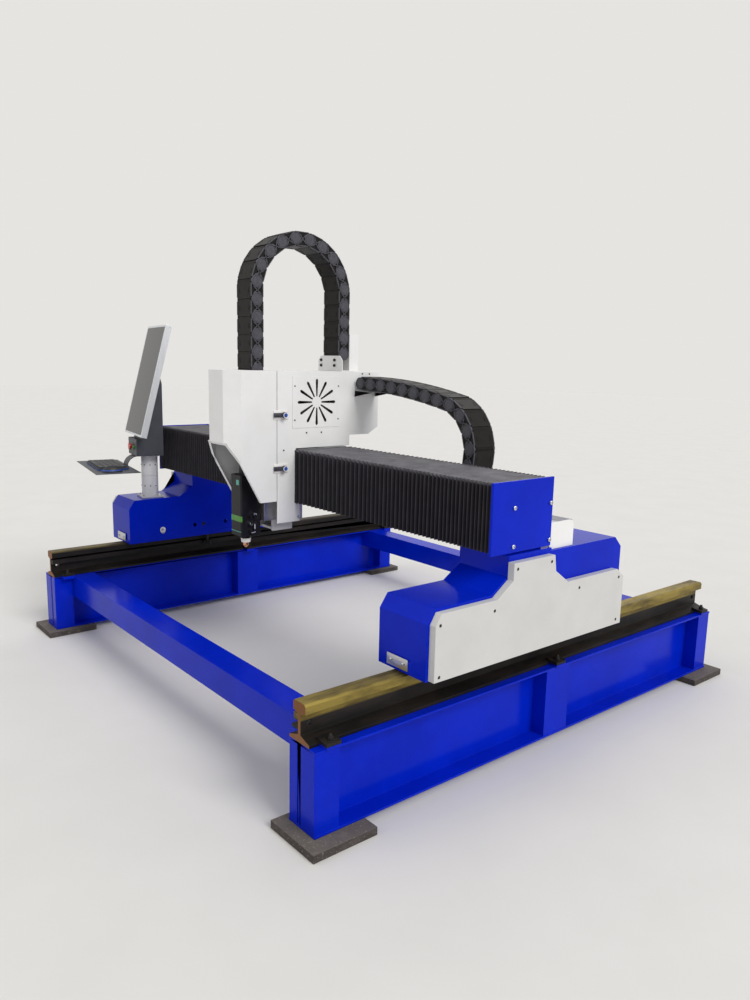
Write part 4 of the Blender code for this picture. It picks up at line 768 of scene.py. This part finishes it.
def buildChain(name, node, matrices, parts, innerSide):
    for part, (first, last, start, end) in parts.items():
        # the last link of the chain has discs at both ends
        tail = matrices[last - 1:last] if last == len(matrices) else []
        links = matrices[first:last - len(tail)]
        sides = copiesAt(makeSidePlates(chainLink, False), links, name + part + "Sides")
        if tail:
            tailSides = copiesAt(makeSidePlates(chainLink, True), tail, "tail")
            sides = joinAll([sides, tailSides], name + part + "Sides")
        lids = copiesAt(makeLids(chainLink, innerSide), links + tail, name + part + "Lids")
        for run, finish in ((sides, "chainPlate"), (lids, "chainLid")):
            finishPiece(run, None, finish, 35)
            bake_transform(run)
            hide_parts(node)


middleX = -1.25  # the middle of the machine
farAway = 500.0  # a far place for the ends of the bend runs in the chain tables; buildChain does not read these ends
tallChain = {"start": (0.9707, 1.580), "rise": 4, "bend": 10, "fall": 9}
rise, bend, fall = tallChain["rise"], tallChain["bend"], tallChain["fall"]
places, headings, tail = chainPlaces(
    tallChain["start"], pi / 2, rise + bend + fall,
    lambda k: pi / bend if rise <= k < rise + bend else 0, chainLink)
foot, shoulder = tallChain["start"][1], tallChain["start"][1] + rise * chainLink["pitch"]
hanging = places[rise + bend].y
buildChain("TallChain", "z_chain", chainMatrices(places, headings, middleX, "X"), {
    "Rise": (0, rise, (middleX, 0, foot), (middleX, 0, 2 * shoulder - foot)),
    "Bend": (rise, rise + bend, (-farAway, 0, 0), (farAway, 0, 0)),
    "Fall": (rise + bend, rise + bend + fall, (middleX, 0, 2 * hanging - tail.y), (middleX, 0, tail.y)),
}, 1)

crossChain = {"start": (-1.085, 1.4428), "run": 8, "bend": 8, "tray": 8, "droop": radians(1.45), "rear": 1.122}
run, bend, trayRun = crossChain["run"], crossChain["bend"], crossChain["tray"]
left = pi - run * crossChain["droop"]
places, headings, tail = chainPlaces(
    crossChain["start"], 0, run + bend + trayRun,
    lambda k: -crossChain["droop"] if k < run else (-left / bend if k < run + bend else 0), chainLink)
startX, bendX, lowX = places[0].x, places[run].x, places[run + bend].x
crossMiddle = crossChain["rear"] - chainLink["width"] / 2
buildChain("CrossChain", "x_chain", chainMatrices(places, headings, crossMiddle, "Y"), {
    "Run": (0, run, (startX, 0, 0), (2 * bendX - startX, 0, 0)),
    "Bend": (run, run + bend, (-farAway, 0, 0), (farAway, 0, 0)),
    "Tray": (run + bend, run + bend + trayRun, (2 * lowX - tail.x, 0, 0), (tail.x, 0, 0)),
}, -1)
print("chains linked")

# Keyboard: the CAD rows become single keys on a slim deck
consoleAxis, consoleHeading = (-2.47, 0.512), -10
consoleTurn = Matrix.Translation((*consoleAxis, 0)) @ Matrix.Rotation(radians(consoleHeading), 4, "Z")
keyboardSizes = {
    "left": -0.200, "front": -0.320, "right": 0.165, "rear": -0.155, "rows": 5, "keys": 15, "gap": 0.0025,
    "margin": 0.008, "deck": 0.012, "rim": 0.004, "keySunk": 0.003, "keyRise": 0.005,
}


def turnWithConsole(obj):
    obj.matrix_world = consoleTurn
    return settle(obj)


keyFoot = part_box("keyboard")[0].z
deckTop = keyFoot + keyboardSizes["deck"]
keyLeft, keyFront = keyboardSizes["left"], keyboardSizes["front"]
deck = addBlock((keyLeft, keyFront, keyFoot), (keyboardSizes["right"], keyboardSizes["rear"], deckTop))
insetFaces(deck, upperFace, [(keyboardSizes["rim"], 0), (0.001, -0.002)])
softenEdges(deck, 0.0012)
turnWithConsole(deck)
deck.name = "KeyboardDeck"
finishPiece(deck, "console", "texturedAbs")
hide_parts("keyboard")
keys = []
rowCount, keyCount, gap, margin = (keyboardSizes[key] for key in ("rows", "keys", "gap", "margin"))
wide = (keyboardSizes["right"] - keyLeft - 2 * margin) / keyCount
deep = (keyboardSizes["rear"] - keyFront - 2 * margin) / rowCount
for row in range(rowCount):
    column = 0
    while column < keyCount:  # a space bar in the front row, and wider keys at the ends of three rows
        span = 6 if row == 0 and column == 4 else (2 if column == keyCount - 2 and row in (1, 2, 4) else 1)
        x, y = keyLeft + margin + column * wide, keyFront + margin + row * deep
        key = addBlock(
            (x, y, deckTop - keyboardSizes["keySunk"]),
            (x + span * wide - gap, y + deep - gap, deckTop + keyboardSizes["keyRise"]))
        keys.append(insetFaces(key, upperFace, [(0.0018, 0.0008)]))
        column += span
keys = turnWithConsole(joinAll(keys, "KeyboardKeys"))
finishPiece(keys, "console", "texturedAbs")
print("keyboard built")

# Latches: a white plate on the cover, and a lever with a ring and a disc on it
latchSizes = {
    "plate": 0.004, "plateFront": 0.050, "plateBack": 0.029, "plateHalf": 0.021, "knobFromBack": 0.014,
    "disc": 0.0095, "discHigh": 0.0014, "ring": 0.0125, "ringHigh": 0.0006, "ringSunk": 0.001, "lift": 0.0004,
}
plateHigh = latchSizes["plate"]
for level in ("upper", "lower"):
    for side, title, way in sideWays:
        node = "latch_%s_%s" % (level, side)
        low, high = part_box(node)
        near, far = faceAt(node, -way), faceAt(node, way)
        y, z = high.y - latchSizes["knobFromBack"], (low.z + high.z) / 2
        left, right = sorted((near, near + way * plateHigh))
        plate = addBlock(
            (left, y - latchSizes["plateFront"], z - latchSizes["plateHalf"]),
            (right, y + latchSizes["plateBack"], z + latchSizes["plateHalf"]), 0.0014)
        addSmall([plate], pieceName(node) + "Plate", "carriage", "whiteNylon")
        lever = mergedCopy(node)
        for vertex in lever.data.vertices:  # its foot stands on the plate
            if abs(vertex.co.x - near) < 0.001:
                vertex.co.x = near + way * (plateHigh + latchSizes["lift"])
        softenEdges(lever, 0.0015)
        finishPiece(lever, node, "greyNylon")
        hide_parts(node)
        start, end = (far - way * latchSizes["ringSunk"], y, z), (far + way * latchSizes["ringHigh"], y, z)
        ring = addRod(latchSizes["ring"], start, end, 24)
        addSmall([ring], pieceName(node) + "Ring", node, "whiteNylon")
        disc = addRod(latchSizes["disc"], (far, y, z), (far + way * latchSizes["discHigh"], y, z), 24, 0.0004)
        addSmall([disc], pieceName(node) + "Disc", node, "blueAbs")
print("latches built")

# Screws and bolts that the photograph shows
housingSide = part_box("rear_shell")[1].x
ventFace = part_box("vent_plate")[1].x
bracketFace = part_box("z_chain_bracket")[0].y
screwRows = [  # name, finish, source, direction, places
    ("HousingScrews", "blackOxide", domeScrew(0.0075, 0.0020), (1, 0, 0), [
        (housingSide, y, z)
        for y, z in ((0.709, 1.211), (0.795, 1.210), (0.581, 1.134), (1.040, 1.488), (1.084, 1.488))]),
    ("VentScrews", "blackOxide", domeScrew(0.0070, 0.0016), (1, 0, 0), [
        (ventFace, y, z) for y in (0.641, 0.892) for z in (1.272, 1.429)]),
    ("HousingLegBolts", "brightZinc", domeScrew(0.0130, 0.0040), (1, 0, 0), [(housingSide, 0.662, 0.812)]),
    ("BracketBolts", "blackOxide", domeScrew(0.0140, 0.0060), (0, -1, 0), [
        (x, bracketFace, z) for x in (-1.322, -1.211) for z in (1.526, 1.552)]),
]
for name, finish, source, direction, places in screwRows:
    fasten(source, places, direction, name, "carriage", finish)

truckPlug = {
    "place": (0.542, 0.540), "ring": 0.0170, "ringHigh": 0.0025, "core": 0.0115, "coreSunk": 0.0020,
    "coreHigh": 0.0045,
}
scraperSizes = {  # the plate that wipes the rail, its two slots, and a screw in each
    "half": 0.055, "thick": 0.0030, "low": 0.4885, "high": 0.5310, "slots": (-0.032, 0.032), "slotHalf": 0.008,
    "slotLow": 0.507, "slotHigh": 0.513, "screwHeight": 0.510, "head": 0.0110, "headHigh": 0.0040,
}
for side, title, way in sideWays:
    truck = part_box("truck_" + side)
    inner = faceAt("truck_" + side, -way)
    y, z = truckPlug["place"]
    plug = addRod(truckPlug["ring"], (inner, y, z), (inner - way * truckPlug["ringHigh"], y, z), 28, 0.0008)
    addSmall([plug], "TruckPlugRing" + title, "gantry", "whiteNylon")
    start, end = ((inner - way * truckPlug[key], y, z) for key in ("coreSunk", "coreHigh"))
    core = addRod(truckPlug["core"], start, end, 28, 0.0008)
    addSmall([core], "TruckPlug" + title, "gantry", "brightZinc")
    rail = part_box("rail_" + side)
    railMiddle = (rail[0].x + rail[1].x) / 2
    half, slotHalf, bottom, top = (scraperSizes[key] for key in ("half", "slotHalf", "low", "high"))
    for end, y, out in (("Front", truck[0].y, -1), ("Rear", truck[1].y, 1)):
        outer = y + out * scraperSizes["thick"]
        low, high = sorted((y, outer))
        scraper = addBlock((railMiddle - half, low, bottom), (railMiddle + half, high, top), 0.0006)
        for x in scraperSizes["slots"]:
            cutWith(scraper, addBlock(
                (railMiddle + x - slotHalf, low - spare, scraperSizes["slotLow"]),
                (railMiddle + x + slotHalf, high + spare, scraperSizes["slotHigh"])))
        addSmall([scraper], "Scraper" + end + title, "gantry", "milledAluminium")
        places = [(railMiddle + x, outer, scraperSizes["screwHeight"]) for x in scraperSizes["slots"]]
        screw = domeScrew(scraperSizes["head"], scraperSizes["headHigh"])
        fasten(screw, places, (0, out, 0), "ScraperScrews" + end + title, "gantry", "brightZinc")
print("small fasteners placed")

# Clamps: a washer, a nut and a stud on every plate
clampSizes = {
    "fromEdge": 0.021, "rows": (-0.012, 1.15, 2.312), "plateTop": 0.3511, "washer": 0.0145, "washerHigh": 0.003,
    "nut": 0.018, "nutHigh": 0.010, "stud": 0.0058, "studHigh": 0.020,
}
top, half = clampSizes["plateTop"], clampSizes["washer"]
seat = top + clampSizes["washerHigh"]
studTop = seat + clampSizes["studHigh"]
for side, title, way in sideWays:
    low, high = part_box("rail_" + side)
    columns = (low.x + clampSizes["fromEdge"], high.x - clampSizes["fromEdge"])
    places = [(x, y, seat) for x in columns for y in clampSizes["rows"]]
    washers = [addBlock((x - half, y - half, top), (x + half, y + half, seat), 0.0006) for x, y, z in places]
    studs = [addRod(clampSizes["stud"], (x, y, top), (x, y, studTop), 16, 0.0008) for x, y, z in places]
    addSmall(washers + studs, "ClampStuds" + title, "bed", "blackOxide")
    nut = hexHead(clampSizes["nut"], clampSizes["nutHigh"], 0.001)
    fasten(nut, places, (0, 0, 1), "ClampNuts" + title, "bed", "blackOxide")
print("clamps built")

# Return flanges folded inward along the open lower edge of the front cover
flange = {
    "wide": 0.015, "sheet": 0.0016, "inset": 0.0028, "half": 0.125, "corner": 0.040,
    "front": 0.301, "frontHeight": 1.176, "footY": 0.458, "rearY": 0.5435, "footHeight": 0.896,
    "drop": 0.28, "run": 0.157,  # of the slanted edge
}
slopeUp = Vector((0, 0.872, 0.489))  # square to the slanted edge
inset, corner, front, frontHeight = (flange[key] for key in ("inset", "corner", "front", "frontHeight"))
chamferZ = frontHeight - (corner - inset) * flange["drop"] / flange["run"]
strips = []
for way in (-1, 1):
    sideX = middleX + way * (flange["half"] - inset)
    frontX = middleX + way * (flange["half"] - corner)
    corners = [Vector(place) for place in (
        (middleX, front + inset, frontHeight), (frontX, front + inset, frontHeight),
        (sideX, front + corner, chamferZ), (sideX, flange["footY"], flange["footHeight"]),
        (sideX, flange["rearY"], flange["footHeight"]))]
    for k, (begin, end) in enumerate(zip(corners, corners[1:])):
        along = (end - begin).normalized()
        up = Vector((0, 0, 1)) if k == 3 else slopeUp
        inward = up.cross(along) * way
        strip = addBlock((0, 0, 0), ((end - begin).length, flange["wide"], flange["sheet"]))
        strip.matrix_world = Matrix([
            (along[axis], inward[axis], up[axis], begin[axis]) for axis in range(3)] + [(0, 0, 0, 1)])
        strips.append(settle(strip))
strips = joinAll(strips, "strips")
editAll(strips)
bpy.ops.mesh.normals_make_consistent(inside=False)
leaveEdit()
addSmall([strips], "FrontCoverFlanges", nodes["front_cover"]["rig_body"], "whitePowder")

# Trim of the laser head: a green band, a teal line and a teal mark, and two sleeves and two pipes at its side
headTrim = {  # lowest and highest place, how far it goes back round the sides, finish
    "HeadBand": (0.800, 0.8265, 0.006, "greenAnodised"),
    "HeadLine": (0.7505, 0.7535, 0.001, "tealTrim"),
}
headSizes = {
    # the block that keeps the front of a swollen copy, and how much and from where in Y the copy is swollen
    "left": -1.31, "right": -1.19, "ahead": 0.390, "swell": 1.012, "swellFrom": 0.45,
    "lampLow": (-1.244, 0.972), "lampHigh": (-1.220, 0.996),
    "fittingRows": (0.10, 0.22, 0.34), "fittingColumns": (0.42, 0.62),  # shares of the head's height and depth
    "sleeve": 0.0070, "sleeveFrom": -1.200, "sleeveTo": -1.1814, "pipe": 0.0034, "pipePlace": -1.188,
}
headLow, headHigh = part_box("laser_head")
for name, (low, high, reach, finish) in headTrim.items():
    band = mergedCopy("laser_head")
    editAll(band)
    swell = headSizes["swell"]
    bpy.ops.transform.resize(value=(swell, swell, 1), center_override=(middleX, headSizes["swellFrom"], low))
    leaveEdit()
    slab = addBlock((headSizes["left"], headSizes["ahead"], low), (headSizes["right"], headLow.y + reach, high))
    withModifier(band, "BOOLEAN", object=slab, operation="INTERSECT", solver="EXACT")
    bpy.data.objects.remove(slab)
    addSmall([band], name, "z_slide", finish)
(left, low), (right, high) = headSizes["lampLow"], headSizes["lampHigh"]
mark = addBlock((left, headLow.y - 0.0006, low), (right, headLow.y + 0.0002, high), 0.0002)
addSmall([mark], "HeadLamp", "z_slide", "tealTrim")
lowRow, midRow, topRow = [headLow.z + share * (headHigh.z - headLow.z) for share in headSizes["fittingRows"]]
front, rear = [headLow.y + share * (headHigh.y - headLow.y) for share in headSizes["fittingColumns"]]
sleeveFrom, sleeveTo, pipeX = headSizes["sleeveFrom"], headSizes["sleeveTo"], headSizes["pipePlace"]
chrome = [
    addRod(headSizes["sleeve"], (sleeveFrom, rear, topRow), (sleeveTo, rear, topRow), 20, 0.0008),
    addRod(headSizes["sleeve"], (sleeveFrom, front, midRow), (sleeveTo, front, midRow), 20, 0.0008),
    addRod(headSizes["pipe"], (pipeX, rear, lowRow), (pipeX, rear, midRow), 16),
    addRod(headSizes["pipe"], (pipeX, front, lowRow), (pipeX, rear, lowRow), 16),
]
addSmall(chrome, "HeadPipes", "z_slide", "brightZinc")
print("head trimmed")

# Console: bolts of its base, seam screws of the column, trims of the keyboard and the mouse
columnSizes = {"bolts": 0.050, "baseThick": 0.010, "radius": 0.0475, "seam": 0.861, "rings": (0.800, 0.925)}
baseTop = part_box("console_base")[0].z + columnSizes["baseThick"]
reach = columnSizes["bolts"]
bolts = [consoleTurn @ Vector((u, v, baseTop)) for u in (-reach, reach) for v in (-reach, reach)]
baseBody = nodes["console_base"]["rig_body"]
fasten(domeScrew(0.0120, 0.0050), bolts, (0, 0, 1), "ConsoleBaseBolts", baseBody, "brightZinc")
for z in columnSizes["rings"]:
    parts = []
    for turn in (-100, -60, -20, 20):
        out = Vector((cos(radians(turn)), sin(radians(turn)), 0))
        place = (out * columnSizes["radius"]) + Vector((*consoleAxis, z))
        parts.append(copiesAt(domeScrew(0.0070, 0.0018), [pointing(place, out)], "screw"))
    node = "console_base" if z < columnSizes["seam"] else "console_column"
    addSmall(parts, "ColumnScrews%d" % round(z * 1000), nodes[node]["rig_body"], "blackOxide")
trimSizes = {
    "out": 0.0012, "low": 0.0006, "high": 0.0050, "mouseLow": 0.006, "mouseHigh": 0.012,
    "mouseSwell": (1.02, 1.015, 1),
}
out = trimSizes["out"]
trim = addBlock(
    (keyLeft - out, keyFront - out, keyFoot + trimSizes["low"]),
    (keyboardSizes["right"] + out, keyboardSizes["rear"] + out, keyFoot + trimSizes["high"]), 0.0012)
addSmall([turnWithConsole(trim)], "KeyboardTrim", "console", "blueAbs")
mouseTrim = mergedCopy("mouse")
editAll(mouseTrim)
for key, above in (("mouseHigh", True), ("mouseLow", False)):  # leaves the band between these heights
    bpy.ops.mesh.bisect(
        plane_co=(0, 0, keyFoot + trimSizes[key]), plane_no=(0, 0, 1), clear_outer=above, clear_inner=not above,
        use_fill=True)
    bpy.ops.mesh.select_all(action="SELECT")
mouseLow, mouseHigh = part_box("mouse")
bpy.ops.transform.resize(value=trimSizes["mouseSwell"], center_override=(mouseLow + mouseHigh) / 2)
leaveEdit()
addSmall([mouseTrim], "MouseTrim", "console", "blueAbs")
print("console trimmed")

# Floor and light
studio = {
    "floor": "#e2dfda", "floorSecond": "#d9d6d0", "back": "#e6e4e1", "sky": "#f2f4f8", "skyStrength": 0.60,
    # lamp: where its light comes from, strength, softness in degrees
    "key": ((3.4, 0.2, 2.6), 1.9, 28), "fill": ((-1.2, -3.0, 2.2), 0.45, 50),
    "rear": ((-1.5, 2.5, 3.0), 0.35, 40),
    "floorSize": 80, "floorMiddle": (-1.2, 1.2, -0.0005),
}


def addSun(name, source, strength, softness):
    lamp = bpy.data.objects.new(name, bpy.data.lights.new(name, "SUN"))
    bpy.context.scene.collection.objects.link(lamp)
    lamp.data.energy = strength
    lamp.data.angle = radians(softness)
    facing = (-Vector(source)).to_track_quat("-Z", "Y")
    lamp.matrix_world = Matrix.Translation(source) @ facing.to_matrix().to_4x4()


for lampName in ("key", "fill", "rear"):
    addSun(lampName + "Light", *studio[lampName])

clearSelection()
bpy.ops.mesh.primitive_plane_add(size=studio["floorSize"], location=studio["floorMiddle"])
floor = settle(bpy.context.object)
floor.name = "StudioFloor"
floorMaterial, floorTree, floorShader = newMaterial("paleFloor")
floorPlace = addNode(floorTree, "TexCoord")
floorSpeck = addNode(floorTree, "TexNoise", inputs={
    "Vector": floorPlace.outputs["Object"], "Scale": 2.5, "Detail": 6, "Roughness": 0.6})
floorColour = addNode(floorTree, "Mix", rgba, {
    0: floorSpeck, 6: hexColour(studio["floor"]), 7: hexColour(studio["floorSecond"])})
setInputs(floorTree, floorShader, {
    "Base Color": floorColour.outputs[2], "Roughness": 0.75, "Specular IOR Level": 0.2})
floor.data.materials.append(floorMaterial)

world = bpy.data.worlds.new("studioWorld")
bpy.context.scene.world = world
world.use_nodes = True
worldTree = world.node_tree
skyLight = worldTree.nodes["Background"]
setInputs(worldTree, skyLight, {"Color": hexColour(studio["sky"]), "Strength": studio["skyStrength"]})
rayKind = addNode(worldTree, "LightPath")
shownSky = addNode(worldTree, "Background", inputs={"Color": hexColour(studio["back"]), "Strength": 1.0})
seenRays = rayKind.outputs["Is Camera Ray"]
for kind in ("Is Glossy Ray", "Is Transmission Ray"):  # metal and glass show the same background
    seenRays = addNode(worldTree, "Math", {"operation": "MAXIMUM"}, {0: seenRays, 1: rayKind.outputs[kind]})
seenSky = addNode(worldTree, "MixShader", inputs={0: seenRays, 1: skyLight, 2: shownSky})
setInputs(worldTree, worldTree.nodes["World Output"], {"Surface": seenSky})
print("studio lit")
